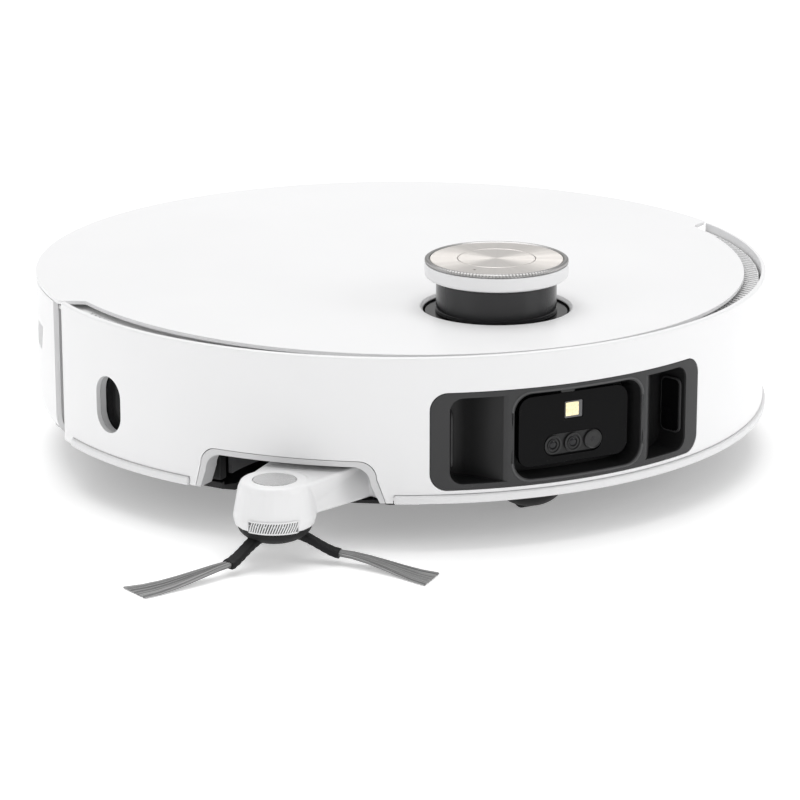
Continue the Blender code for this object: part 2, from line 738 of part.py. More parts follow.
def side_sensors():
    for name, side in (("side_sensor_right", -1), ("side_sensor_left", 1)):
        half = SENSOR_WIDTH / 2 + SENSOR_LAP
        low = SENSOR_LOW - SENSOR_LAP
        high = SENSOR_HIGH + SENSOR_LAP
        columns = pill_columns(side * SENSOR_BEARING, half, low, high)
        outer = BUMPER_INNER - FIT
        curved_panel(name, columns, outer - 2 * MM, outer, black_gloss())


def rear_shell():
    wall = SHELL_WALL
    low = SHELL_BOTTOM
    outside = []
    for step in range(4):
        angle = math.radians(90 * step / 3)
        rise = (SHELL_CURL + 2 * MM) * (1 - math.cos(angle))
        outside.append((BODY_RADIUS - SHELL_CURL * (1 - math.sin(angle)), low + rise))
    inside = [(radius - wall, height + 0.2 * wall) for radius, height in outside[1:]]
    inside.insert(0, (outside[0][0] - wall, low))
    ledge_top = DECK_BOTTOM - FIT
    ledge = SHELL_INNER - SHELL_LEDGE
    top = [
        (BODY_RADIUS, SHELL_TOP - 0.8 * MM),
        (BODY_RADIUS - 0.8 * MM, SHELL_TOP),
        (SHELL_INNER, SHELL_TOP),
        (SHELL_INNER, ledge_top),
        (ledge, ledge_top),
        (ledge, ledge_top - 2 * MM),
        (SHELL_INNER, ledge_top - 2 * MM),
    ]
    profile = outside + top + inside[::-1]
    end = 360 - SHELL_START
    shell = turned("rear_shell", profile, white_shell(), start=SHELL_START, end=end)
    tongue_outer = BUMPER_INNER - TONGUE_GAP
    tongue_inner = tongue_outer - TONGUE_WALL
    floor = SHELL_BOTTOM + SHELL_CURL / 2
    roof = ledge_top - 0.5 * MM
    for side in (-1, 1):
        bearings = [side * b for b in spread(TONGUE_END, SHELL_START + 3, 6)]
        columns = [(b, floor, roof) for b in bearings]
        tongue = curved_panel(f"tongue{side}", columns, tongue_inner, tongue_outer, None)
        bearings = [side * b for b in spread(SHELL_START + 0.4, SHELL_START + 3, 3)]
        columns = [(b, floor + 1 * MM, roof - 1 * MM) for b in bearings]
        web_inner = tongue_inner + 1 * MM
        web = curved_panel(f"tongue_web{side}", columns, web_inner, BODY_RADIUS - 1 * MM, None)
        join(shell, tongue, web)
    vents(shell)
    for cutter in rear_pockets():
        cut(shell, cutter)


def vents(shell):
    """A stack of leaning slots in the shell behind the side brush."""
    for side in (-1, 1):
        for index in range(VENT_COUNT):
            shift = (index - (VENT_COUNT - 1) / 2) * VENT_PITCH
            bearing = side * (VENT_BEARING + math.degrees(shift / BODY_RADIUS))
            size = (VENT_WIDTH / 2, 3 * SHELL_WALL, VENT_LENGTH / 2)
            slot = box(f"vent{side}_{index}", [-v for v in size], size, None)
            lean = Matrix.Rotation(math.radians(-side * VENT_LEAN), 4, "Y")
            turn = Matrix.Rotation(math.radians(bearing), 4, "Z")
            place = Matrix.Translation((*polar(BODY_RADIUS, bearing), VENT_HEIGHT))
            slot.data.transform(place @ turn @ lean)
            cut(shell, slot)


def rear_columns(middle, width, height, centre, grow=0.0):
    """Columns of a rectangle on the rear wall; middle is its bearing."""
    turn = math.degrees((width / 2 + grow) / BODY_RADIUS)
    low = centre - height / 2 - grow
    high = centre + height / 2 + grow
    return [(bearing, low, high) for bearing in spread(middle - turn, middle + turn, 6)]


def rear_pockets():
    floor = BODY_RADIUS - POCKET_DEPTH
    pockets = []
    for side in (-1, 1):
        columns = rear_columns(180 + side * CONTACT_BEARING, *CONTACT_SIZE, CONTACT_HEIGHT, FIT)
        pockets.append(curved_panel(f"contact_cut{side}", columns, floor, BODY_RADIUS + CUT_OVER, None))
    columns = rear_columns(180, *DOCK_WINDOW_SIZE, DOCK_WINDOW_HEIGHT, FIT)
    pockets.append(curved_panel("dock_cut", columns, floor, BODY_RADIUS + CUT_OVER, None))
    return pockets


def rear_fittings():
    floor = BODY_RADIUS - POCKET_DEPTH + FIT
    for name, side in (("charge_contact_left", -1), ("charge_contact_right", 1)):
        columns = rear_columns(180 + side * CONTACT_BEARING, *CONTACT_SIZE, CONTACT_HEIGHT)
        curved_panel(name, columns, floor, BODY_RADIUS, bright_metal())
    columns = rear_columns(180, *DOCK_WINDOW_SIZE, DOCK_WINDOW_HEIGHT)
    curved_panel("dock_window", columns, floor, BODY_RADIUS, black_gloss())


def deck():
    """Inner frame under the lid: finger gap floors, lid rim, bin and turret openings, posts."""
    front = BUMPER_INNER - FIT
    outline = [polar(front, bearing) for bearing in spread(-90, 90, 36)]
    outline = [(x, y + BUMPER_TRAVEL) for x, y in outline]
    outline += [polar(SHELL_INNER - FIT, bearing) for bearing in spread(94, 266, 34)]
    frame = prism("deck", outline, DECK_BOTTOM, DECK_TOP, grey_plastic())
    bottom = DECK_BOTTOM + 0.5 * MM
    top = LID_BOTTOM - FIT
    inner = BODY_RADIUS - DECK_RIM[0]
    outer = BODY_RADIUS - DECK_RIM[1]
    profile = ((inner, bottom), (outer, bottom), (outer, top), (inner, top))
    join(frame, turned("deck_rim", profile, None))
    for index, place in enumerate(POST_PLACES):
        foot = PAN_RIM[0] + PAN_THICKNESS / 2
        profile = ((0, foot), (POST_RADIUS, foot), (POST_RADIUS, bottom), (0, bottom))
        join(frame, turned(f"post{index}", profile, None, centre=place, facets=FINE_FACETS))
    radius = WELL_OUTER + FIT
    low = DECK_BOTTOM - CUT_OVER
    high = LID_TOP + CUT_OVER
    profile = ((0, low), (radius, low), (radius, high), (0, high))
    cut(frame, turned("well_hole", profile, None, centre=(0, -TURRET_AHEAD)))
    margin = 2 * MM
    low_corner = (BIN_LOW[0] - margin, BIN_LOW[1] - margin, low)
    high_corner = (BIN_HIGH[0] + margin, BIN_HIGH[1] + margin, high)
    cut(frame, box("bin_hole", low_corner, high_corner, None))


def turret_well():
    """Tube that the turret sinks into, with a flange under the deck."""
    top = LID_BOTTOM - FIT
    flange_top = DECK_BOTTOM - FIT
    flange = WELL_OUTER + FLANGE_WIDTH
    floor = WELL_BASE - WELL_FLOOR
    hole = STEM_RADIUS + 2 * FIT
    profile = (
        (hole, floor), (WELL_OUTER, floor), (WELL_OUTER, flange_top - 2 * MM),
        (flange, flange_top - 2 * MM), (flange, flange_top), (WELL_OUTER, flange_top),
        (WELL_OUTER, top), (WELL_INNER, top), (WELL_INNER, WELL_BASE), (hole, WELL_BASE),
    )
    turned("turret_well", profile, black_plastic(), centre=(0, -TURRET_AHEAD), facets=ROUND_FACETS)


def turret():
    """The rising turret: plate and stem, column, cap, knurled ring, disc and button."""
    centre = (0, -TURRET_AHEAD)
    stem_end = PLATE_BOTTOM - STEM_LENGTH
    profile = (
        (0, stem_end), (STEM_RADIUS, stem_end), (STEM_RADIUS, PLATE_BOTTOM),
        (PLATE_RADIUS, PLATE_BOTTOM), (PLATE_RADIUS, PLATE_TOP), (0, PLATE_TOP),
    )
    turned("turret_plate", profile, black_gloss(), centre=centre, facets=ROUND_FACETS)
    low = PLATE_TOP + FIT
    high = CAP_BOTTOM - FIT
    inner = COLUMN_RADIUS - COLUMN_WALL
    profile = ((inner, low), (COLUMN_RADIUS, low), (COLUMN_RADIUS, high), (inner, high))
    turned("turret_column", profile, black_plastic(), centre=centre, facets=ROUND_FACETS)
    lap = DISC_RADIUS + FIT
    profile = (
        (0, CAP_BOTTOM), (CAP_RADIUS - 0.8 * MM, CAP_BOTTOM), (CAP_RADIUS, CAP_BOTTOM + 0.8 * MM),
        (CAP_RADIUS, CAP_TOP), (0, CAP_TOP),
    )
    turned("turret_cap", profile, white_shell(), centre=centre, facets=ROUND_FACETS)
    low = CAP_TOP + FIT
    profile = (
        (lap, low), (CAP_RADIUS, low), (CAP_RADIUS, TURRET_TOP - 0.4 * MM),
        (CAP_RADIUS - 0.4 * MM, TURRET_TOP), (lap + 0.6 * MM, TURRET_TOP), (lap, TURRET_TOP - 0.4 * MM),
    )
    turned("turret_ring", profile, bright_metal(), centre=centre, facets=ROUND_FACETS)
    top = TURRET_TOP - 0.3 * MM
    hole = BUTTON_RADIUS + FIT
    profile = ((hole, low), (DISC_RADIUS, low), (DISC_RADIUS, top), (hole, top))
    turned("turret_disc", profile, champagne_metal(), centre=centre, facets=ROUND_FACETS)
    low = top - DISC_THICKNESS
    profile = ((0, low), (BUTTON_RADIUS, low), (BUTTON_RADIUS, top), (0, top))
    turned("turret_button", profile, champagne_metal(), centre=centre, facets=ROUND_FACETS)


def laser_rotor():
    """Spinning laser head inside the turret's column."""
    low = PLATE_TOP + ROTOR_LIFT
    high = low + ROTOR_HEIGHT
    centre = (0, -TURRET_AHEAD)
    profile = ((0, low), (ROTOR_RADIUS, low), (ROTOR_RADIUS, high), (0, high))
    head = turned("laser_rotor", profile, grey_plastic(), centre=centre, facets=SMALL_FACETS)
    front = -TURRET_AHEAD - ROTOR_RADIUS
    low_corner = (-2 * ROTOR_RADIUS, front - CUT_OVER, low - CUT_OVER)
    high_corner = (2 * ROTOR_RADIUS, front + 4 * MM, high + CUT_OVER)
    flat = box("rotor_flat", low_corner, high_corner, None)
    cut(head, flat)


def arm_outline(lean, edge):
    """Outline of the arm's bar, its front face leaning back from the X axis and edge off the hub's axis."""
    slope = math.radians(lean)
    start = (HUB_PLACE[0] + edge * math.sin(slope), HUB_PLACE[1] - edge * math.cos(slope))
    outline = [(HUB_PLACE[0] - HUB_RADII[0] / 2, HUB_PLACE[1])]
    far = PIVOT_PLACE[0] - ARM_FACE_SHORT - start[0]
    for reach in (0, far):
        outline.append((start[0] + reach, start[1] + reach * math.tan(slope)))
    for bearing in spread(-60, 150, 10):
        x, y = polar(ARM_PIVOT_RADIUS, bearing)
        outline.append((PIVOT_PLACE[0] + x, PIVOT_PLACE[1] + y))
    outline += [ARM_BACK, (HUB_PLACE[0] - HUB_RADII[0] / 3, HUB_PLACE[1] + HUB_RADII[2] - 2 * MM)]
    return outline


def brush_arm():
    """White arm: a turned hub joined to a wedge that runs back to its pivot."""
    tiers = (
        (HUB_RADII[0], HUB_HEIGHTS[0]), (HUB_RADII[1], HUB_HEIGHTS[1]),
        (HUB_RADII[2] + 0.3 * MM, HUB_HEIGHTS[2] - 2.7 * MM),
        (HUB_RADII[2] - 0.7 * MM, HUB_HEIGHTS[2] - 0.6 * MM), (HUB_RADII[2] - 1.6 * MM, HUB_HEIGHTS[2]),
    )
    profile = [(0, HUB_HEIGHTS[0])] + list(tiers) + [(0, HUB_HEIGHTS[2])]
    hub = turned("brush_arm", profile, white_shell(), centre=HUB_PLACE, facets=SMALL_FACETS)
    low_outline, high_outline = (arm_outline(*face) for face in zip(ARM_FACE_LEANS, ARM_FACE_OUT))
    bar = prism("arm_bar", low_outline, ARM_BOTTOM, ARM_TOP - ARM_BAR_STEP, None, high_outline)
    soften(bar, 0.8 * MM)
    hole = PIN_RADIUS + FIT
    low = ARM_BOTTOM - CUT_OVER
    high = ARM_TOP + CUT_OVER
    profile = ((0, low), (hole, low), (hole, high), (0, high))
    cut(bar, turned("pivot_bore", profile, None, centre=PIVOT_PLACE, facets=SMALL_FACETS))
    join(hub, bar)
    deep = ARM_TOP - ARM_DISC_DEPTH
    wide = ARM_DISC_RADIUS + FIT
    profile = ((0, deep), (wide, deep), (wide, ARM_TOP + CUT_OVER), (0, ARM_TOP + CUT_OVER))
    cut(hub, turned("disc_pocket", profile, None, centre=HUB_PLACE, facets=SMALL_FACETS))


def arm_disc():
    """Brushed disc let into the hub's top."""
    low = ARM_TOP - ARM_DISC_DEPTH + FIT
    high = ARM_TOP + 0.1 * MM
    profile = ((0, low), (ARM_DISC_RADIUS, low), (ARM_DISC_RADIUS, high), (0, high))
    turned("arm_disc", profile, bright_metal(), centre=HUB_PLACE, facets=SMALL_FACETS)


def brush_stations():
    """Radius, bearing lead and height along one brush arm: root, knee and end of the rubber, then tip."""
    knee = 0.62 * RUBBER_END[0] + 2 * MM
    return (
        (9 * MM, BRUSH_TRAIL, 12.6 * MM),
        (knee, BRUSH_TRAIL * 1.05, 9.6 * MM),
        (RUBBER_END[0], BRUSH_TRAIL, RUBBER_END[1]),
    )


def strip(name, stations, sizes, material):
    """A flat strip through stations of (point, direction), with (width, height) at each."""
    mesh = bmesh.new()
    rows = []
    for (point, along), (width, height) in zip(stations, sizes):
        across = Vector((-along[1], along[0], 0)).normalized() * (width / 2)
        up = Vector((0, 0, height / 2))
        middle = Vector(point)
        low = (middle - across - up, middle + across - up)
        corners = (*low, middle + across + up, middle - across + up)
        rows.append([mesh.verts.new(corner) for corner in corners])
    for first, second in zip(rows, rows[1:]):
        for index in range(4):
            after = (index + 1) % 4
            mesh.faces.new((first[index], first[after], second[after], second[index]))
    mesh.faces.new(rows[0])
    mesh.faces.new(rows[-1])
    return make(name, mesh, material)


def around_hub(radius, bearing, height):
    """A point at a radius and an angle from +X about the side brush's axis."""
    angle = math.radians(bearing)
    return HUB_PLACE[0] + radius * math.cos(angle), HUB_PLACE[1] + radius * math.sin(angle), height


def with_directions(points):
    """Pair each point with the direction of travel there."""
    stations = []
    for index, point in enumerate(points):
        before = Vector(points[max(index - 1, 0)])
        after = Vector(points[min(index + 1, len(points) - 1)])
        stations.append((point, (after - before)))
    return stations


def side_brush():
    """Black rotor with three rubber arms, and a bundle of bristles in each arm."""
    high = HUB_HEIGHTS[0] - FIT
    depth = high - DOME_BOTTOM
    profile = [(0, high), (DOME_RADIUS, high)]
    for step in range(1, 5):
        angle = math.radians(90 * step / 5)
        profile.append((DOME_RADIUS * math.cos(angle), high - depth * math.sin(angle)))
    profile.append((0, DOME_BOTTOM))
    rotor = turned("brush_rotor", profile[::-1], black_rubber(), centre=HUB_PLACE, facets=SMALL_FACETS)
    names = ("bristles_right", "bristles_front", "bristles_back")
    for name, tip in zip(names, BRUSH_BEARINGS):
        points = [around_hub(r, tip + lead, height) for r, lead, height in brush_stations()]
        sizes = [RUBBER_SIZE, RUBBER_SIZE, (RUBBER_SIZE[0], RUBBER_SIZE[1] * 0.9)]
        join(rotor, strip(f"rubber_{name}", with_directions(points), sizes, None))
        middle = (RUBBER_END[0] + BRUSH_RADIUS) / 2
        points = [
            around_hub(RUBBER_END[0] + BRISTLE_GAP, tip + BRUSH_TRAIL, RUBBER_END[1]),
            around_hub(middle, tip + BRUSH_TRAIL * 0.35, RUBBER_END[1] * 0.45),
            around_hub(BRUSH_RADIUS, tip, BRISTLE_FLOOR + BRISTLE_END_SIZE[1] / 2),
        ]
        wide = (BRISTLE_START_SIZE[0] + BRISTLE_END_SIZE[0]) / 2.4
        sizes = [BRISTLE_START_SIZE, (wide, 1.5 * MM), BRISTLE_END_SIZE]
        strip(name, with_directions(points), sizes, grey_bristle())


def arm_sweep(inner, outer, start, end, steps):
    """Outline of a ring sector about the arm's pivot, angles from +X."""
    angles = [math.radians(value) for value in spread(start, end, steps)]
    x, y = PIVOT_PLACE
    far = [(x + outer * math.cos(a), y + outer * math.sin(a)) for a in angles]
    near = [(x + inner * math.cos(a), y + inner * math.sin(a)) for a in angles]
    return far + near[::-1]


def hub_reach():
    """Half width of the path that the hub sweeps, with its margin."""
    return HUB_RADII[1] + POCKET_MARGIN


def park_angle():
    """Angle from +X of the pocket's closed end, past the parked hub."""
    parked = HUB_ANGLE - ARM_SWING
    return parked - math.degrees(math.asin(hub_reach() / ARM_LENGTH))


def arm_guard():
    """Curved dark wall at the back of the pocket that the brush hub parks in."""
    inner = ARM_LENGTH + hub_reach() + FIT
    outline = arm_sweep(inner, inner + GUARD_WALL, park_angle(), HUB_ANGLE - ARM_SWING, 10)
    prism("arm_guard", outline, PAN_RIM[1] + FIT, GUARD_TOP, grey_plastic())


def floor_pan():
    """Black base pan with the arm's pin, open for wheels, roller, caster, mops and brush hub."""
    profile = (
        (0, PAN_BOTTOM), (PAN_FLAT_RADIUS, PAN_BOTTOM), (PAN_RADIUS, PAN_RIM[0]), (PAN_RADIUS, PAN_RIM[1]),
        (PAN_RADIUS - 3 * MM, PAN_RIM[1]), (PAN_RADIUS - 3 * MM, PAN_RIM[0] + 1 * MM),
        (PAN_FLAT_RADIUS - 1 * MM, PAN_TOP), (0, PAN_TOP),
    )
    pan = turned("floor_pan", profile, black_plastic())
    low = PAN_RIM[0] - 0.6 * MM
    profile = ((0, low), (PIN_RADIUS, low), (PIN_RADIUS, PIN_HEIGHT), (0, PIN_HEIGHT))
    join(pan, turned("arm_pin", profile, None, centre=PIVOT_PLACE, facets=SMALL_FACETS))
    low = PAN_BOTTOM - CUT_OVER
    high = PAN_RIM[1] + CUT_OVER
    radius = MOP_RADIUS + BAY_CLEAR
    front = [polar(radius, bearing) for bearing in spread(0, 90, 12)]
    right = [(MOP_PLACE[0] + x, MOP_PLACE[1] + y) for x, y in front]
    right.append((right[-1][0], BODY_RADIUS + CUT_OVER))
    outline = right + [(-x, y) for x, y in right[::-1]]
    cut(pan, prism("mop_bay_cut", outline, low, high, None))
    wheel = WHEEL_WIDTH / 2 + WHEEL_CLEAR
    for side in (-1, 1):
        xs = sorted((side * (WHEEL_OFFSET - wheel), side * (WHEEL_OFFSET + wheel)))
        front = WHEEL_BACK - WHEEL_RADIUS - WHEEL_CLEAR
        back = WHEEL_BACK + WHEEL_RADIUS + WHEEL_CLEAR
        cut(pan, box(f"wheel_well{side}", (xs[0], front, low), (xs[1], back, high), None))
    near = (-MOUTH_HALF[0], ROLLER_BACK - MOUTH_HALF[1], low)
    far = (MOUTH_HALF[0], ROLLER_BACK + MOUTH_HALF[1], high)
    cut(pan, box("roller_mouth", near, far, None))
    far = ARM_LENGTH + hub_reach()
    sweep = arm_sweep(ARM_LENGTH - hub_reach(), far, park_angle(), SWEEP_END, 16)
    cut(pan, prism("brush_pocket", sweep, low, high, None))
    under_arm = ARM_BOTTOM - 2 * FIT
    ring = ((PIN_RADIUS + FIT / 3, under_arm), (ARM_PIVOT_RADIUS + 2 * MM, under_arm))
    profile = ring + tuple((radius, high) for radius, _ in ring[::-1])
    cut(pan, turned("pivot_clear", profile, None, centre=PIVOT_PLACE, facets=SMALL_FACETS))
    sweep = arm_sweep(ARM_PIVOT_RADIUS, far, park_angle(), SWEEP_END, 16)
    cut(pan, prism("arm_clear", sweep, under_arm, high, None))
    radius = CASTER_RADIUS + FIT + 1 * MM
    profile = ((0, low), (radius, low), (radius, high), (0, high))
    cut(pan, turned("caster_hole", profile, None, centre=(0, -CASTER_AHEAD), facets=SMALL_FACETS))


def mop_bay():
    """Roof of the mop bay, with a hole for each spindle."""
    edge = PAN_RADIUS - 4 * MM
    front = MOP_PLACE[1] - MOP_RADIUS - BAY_CLEAR
    turn = 180 - math.degrees(math.acos(front / edge))
    outline = [polar(edge, bearing) for bearing in spread(turn, 360 - turn, 20)]
    roof = prism("mop_bay", outline, *BAY_FLOOR, black_plastic())
    for side in (-1, 1):
        radius = SPINDLE_RADIUS + 1.5 * MM
        low = BAY_FLOOR[0] - CUT_OVER
        high = BAY_FLOOR[1] + CUT_OVER
        profile = ((0, low), (radius, low), (radius, high), (0, high))
        centre = (side * MOP_PLACE[0], MOP_PLACE[1])
        cut(roof, turned(f"spindle_hole{side}", profile, None, centre=centre, facets=FINE_FACETS))


def mops():
    """Two mop plates with spindles, a pad under each, and the drive box they hang from."""
    for name, side in (("right", -1), ("left", 1)):
        centre = (side * MOP_PLACE[0], MOP_PLACE[1])
        low = PAD_THICKNESS + FIT
        top = low + PLATE_HEIGHT
        radius = MOP_RADIUS - 3 * MM
        profile = (
            (0, low), (radius, low), (radius, top - 1.5 * MM), (radius - 2 * MM, top),
            (SPINDLE_RADIUS, top), (SPINDLE_RADIUS, SPINDLE_TOP), (0, SPINDLE_TOP),
        )
        turned(f"mop_plate_{name}", profile, grey_plastic(), centre=centre, facets=SMALL_FACETS)
        edge = 1.5 * MM
        profile = (
            (0, 0), (MOP_RADIUS - edge, 0), (MOP_RADIUS, edge), (MOP_RADIUS, PAD_THICKNESS - edge),
            (MOP_RADIUS - edge, PAD_THICKNESS), (0, PAD_THICKNESS),
        )
        turned(f"mop_pad_{name}", profile, mop_cloth(), centre=centre, facets=SMALL_FACETS)
    low = BAY_FLOOR[1] + 1 * MM
    corner = (-DRIVE_BOX[0], MOP_PLACE[1] - DRIVE_BOX[1], low)
    far = (DRIVE_BOX[0], MOP_PLACE[1] + DRIVE_BOX[1], low + DRIVE_BOX[2])
    drive = box("mop_drive", corner, far, grey_plastic())
    for side in (-1, 1):
        radius = SPINDLE_RADIUS + FIT
        profile = ((0, 0), (radius, 0), (radius, SPINDLE_TOP + CUT_OVER), (0, SPINDLE_TOP + CUT_OVER))
        centre = (side * MOP_PLACE[0], MOP_PLACE[1])
        cut(drive, turned(f"drive_bore{side}", profile, None, centre=centre, facets=FINE_FACETS))


def caster():
    """Socket, swivelling dome and small wheel at the front."""
    centre = (0, -CASTER_AHEAD)
    inner = CASTER_RADIUS + FIT
    outer = inner + CASTER_WALL
    low = PAN_RIM[0] + FIT
    top = CASTER_SOCKET_TOP
    roof = top - CASTER_WALL
    profile = ((inner, low), (outer, low), (outer, top), (0, top), (0, roof), (inner, roof))
    turned("caster_socket", profile, black_plastic(), centre=centre, facets=SMALL_FACETS)
    high = roof - FIT
    profile = [(0, high), (CASTER_RADIUS, high), (CASTER_RADIUS, PAN_BOTTOM)]
    for step in range(1, 6):
        angle = math.radians(90 * step / 6)
        drop = (PAN_BOTTOM - CASTER_BOTTOM) * math.sin(angle)
        profile.append((CASTER_RADIUS * math.cos(angle), PAN_BOTTOM - drop))
    profile.append((0, CASTER_BOTTOM))
    swivel = turned("caster_swivel", profile[::-1], black_plastic(), centre=centre, facets=SMALL_FACETS)
    half = CASTER_WHEEL_WIDTH / 2 + 0.6 * MM
    reach = CASTER_WHEEL_RADIUS + 0.8 * MM
    wheel_y = -CASTER_AHEAD + CASTER_TRAIL
    slot = ((-half, wheel_y - reach, -CUT_OVER), (half, wheel_y + reach, CASTER_WHEEL_RADIUS + reach))
    cut(swivel, box("wheel_slot", *slot, None))
    rim = 1 * MM
    width = CASTER_WHEEL_WIDTH / 2
    radius = CASTER_WHEEL_RADIUS
    profile = (
        (0, -width), (radius - rim, -width), (radius, -width + rim), (radius, width - rim),
        (radius - rim, width), (0, width),
    )
    wheel = turned("caster_wheel", profile, black_rubber(), facets=SMALL_FACETS)
    lie_along_x(wheel, (0, wheel_y, CASTER_WHEEL_RADIUS))


def drive_wheels():
    """Sprung swing arms with an axle stub, wheel hubs and ribbed tyres."""
    for name, side in (("right", -1), ("left", 1)):
        hub_centre = (side * WHEEL_OFFSET, WHEEL_BACK, WHEEL_RADIUS)
        swing_arm(name, side)
        half = WHEEL_WIDTH / 2
        rim = WHEEL_RADIUS - TYRE_DEPTH - FIT
        bore = AXLE_RADIUS + FIT
        profile = (
            (bore, -half), (rim, -half), (rim, half), (rim - 4 * MM, half), (rim - 6 * MM, half - 3 * MM),
            (12 * MM, half - 3 * MM), (10 * MM, half - 1 * MM), (bore, half - 1 * MM),
        )
        profile = [(radius, side * height) for radius, height in profile]
        hub = turned(f"wheel_hub_{name}", profile, grey_plastic(), facets=SMALL_FACETS)
        lie_along_x(hub, hub_centre)
        inner = WHEEL_RADIUS - TYRE_DEPTH
        profile = (
            (inner, -half), (WHEEL_RADIUS - 1 * MM, -half), (WHEEL_RADIUS, -half + 1 * MM),
            (WHEEL_RADIUS, half - 1 * MM), (WHEEL_RADIUS - 1 * MM, half), (inner, half),
        )
        tyre = turned(f"tyre_{name}", profile, black_rubber(), facets=SMALL_FACETS)
        lie_along_x(tyre, hub_centre)


def swing_arm(name, side):
    """Gearbox arm from the suspension pivot to the wheel's axle."""
    pivot = SWING_PLACE
    axle = (WHEEL_BACK, WHEEL_RADIUS)
    away = math.atan2(axle[1] - pivot[1], axle[0] - pivot[0])
    outline = []
    for centre, turn in ((pivot, math.pi), (axle, 0.0)):
        for step in range(9):
            angle = away + turn - math.pi / 2 + math.pi * step / 8
            x = centre[0] + SWING_RADIUS * math.cos(angle)
            outline.append((x, centre[1] + SWING_RADIUS * math.sin(angle)))
    faces = sorted((side * SWING_OUTER_FACE, side * (SWING_OUTER_FACE - SWING_WIDTH)))
    arm = prism(f"swing_arm_{name}", outline, faces[0], faces[1], grey_plastic())
    upright = Matrix(((0, 0, 1, 0), (1, 0, 0, 0), (0, 1, 0, 0), (0, 0, 0, 1)))
    arm.data.transform(upright)
    length = WHEEL_WIDTH + SWING_GAP
    half = length / 2
    profile = ((0, -half), (AXLE_RADIUS, -half), (AXLE_RADIUS, half), (0, half))
    stub = turned(f"axle_{name}", profile, None, facets=FINE_FACETS)
    middle = side * (SWING_OUTER_FACE + half - 2 * MM)
    lie_along_x(stub, (middle, *axle))
    join(arm, stub)


def roller():
    """Main roller with twisted fins that lean outwards from its middle."""
    axis = (0, ROLLER_BACK, ROLLER_HEIGHT)
    mesh = bmesh.new()
    points = ROLLER_FINS * 4
    rows = []
    for share in spread(0, 1, 12):
        twist = ROLLER_TWIST * abs(2 * share - 1)
        row = []
        for index in range(points):
            radius = ROLLER_RADIUS if index % 4 == 0 else ROLLER_ROOT
            angle = math.radians(twist + 360 * index / points)
            x = -ROLLER_HALF + 2 * ROLLER_HALF * share
            row.append(mesh.verts.new((x, radius * math.cos(angle), radius * math.sin(angle))))
        rows.append(row)
    for first, second in zip(rows, rows[1:]):
        for index in range(points):
            after = (index + 1) % points
            mesh.faces.new((first[index], first[after], second[after], second[index]))
    mesh.faces.new(rows[0])
    mesh.faces.new(rows[-1])
    brush = make("main_roller", mesh, black_rubber())
    brush.location = axis


def roller_hood():
    """Curved roof over the roller, open below, with the outlet to the bin."""
    inner = ROLLER_RADIUS + HOOD_CLEAR
    outer = inner + HOOD_WALL
    foot = PAN_TOP + FIT - ROLLER_HEIGHT
    angles = [math.radians(value) for value in spread(0, 180, 16)]
    outline = [(outer, foot)]
    outline += [(outer * math.cos(a), outer * math.sin(a)) for a in angles]
    outline += [(-outer, foot), (-inner, foot)]
    outline += [(inner * math.cos(a), inner * math.sin(a)) for a in angles[::-1]]
    outline.append((inner, foot))
    half = MOUTH_HALF[0] - 1 * MM
    hood = prism("roller_hood", outline, -half, half, black_plastic())
    upright = Matrix(((0, 0, 1, 0), (1, 0, 0, ROLLER_BACK), (0, 1, 0, ROLLER_HEIGHT), (0, 0, 0, 1)))
    hood.data.transform(upright)
    low = (-BIN_INLET[0], ROLLER_BACK - BIN_INLET[1], ROLLER_HEIGHT)
    high = (BIN_INLET[0], ROLLER_BACK + BIN_INLET[1], BIN_LOW[2])
    cut(hood, box("hood_outlet", low, high, None))


def roller_guard():
    """Flat frame screwed under the pan round the roller's mouth."""
    high = PAN_BOTTOM - FIT
    low = high - GUARD_HEIGHT
    across = MOUTH_HALF[0]
    along = MOUTH_HALF[1]
    corner = (-across - GUARD_RIM, ROLLER_BACK - along - GUARD_RIM, low)
    far = (across + GUARD_RIM, ROLLER_BACK + along + GUARD_RIM, high)
    outline = rounded_rectangle(far[0], along + GUARD_RIM, 4 * MM, steps=3)
    outline = [(x, y + ROLLER_BACK) for x, y in outline]
    guard = prism("roller_guard", outline, corner[2], far[2], grey_plastic())
    corner = (-across, ROLLER_BACK - along, low - CUT_OVER)
    far = (across, ROLLER_BACK + along, high + CUT_OVER)
    cut(guard, box("guard_mouth", corner, far, None))


def dust_bin():
    """Open-topped bin over the roller, with an inlet in its floor, and its cover."""
    bin_body = box("dust_bin", BIN_LOW, BIN_HIGH, clear_tank())
    wall = BIN_WALL
    low = [value + wall for value in BIN_LOW]
    high = (BIN_HIGH[0] - wall, BIN_HIGH[1] - wall, BIN_HIGH[2] + CUT_OVER)
    cut(bin_body, box("bin_hollow", low, high, None))
    low = (-BIN_INLET[0] + 2 * MM, ROLLER_BACK - BIN_INLET[1] + 1 * MM, BIN_LOW[2] - CUT_OVER)
    high = (BIN_INLET[0] - 2 * MM, ROLLER_BACK + BIN_INLET[1] - 1 * MM, BIN_LOW[2] + wall + CUT_OVER)
    cut(bin_body, box("bin_inlet", low, high, None))
    low = (BIN_LOW[0], BIN_LOW[1], BIN_HIGH[2] + FIT)
    high = (BIN_HIGH[0], BIN_HIGH[1], DECK_TOP + 0.6 * MM)
    box("bin_cover", low, high, grey_plastic())


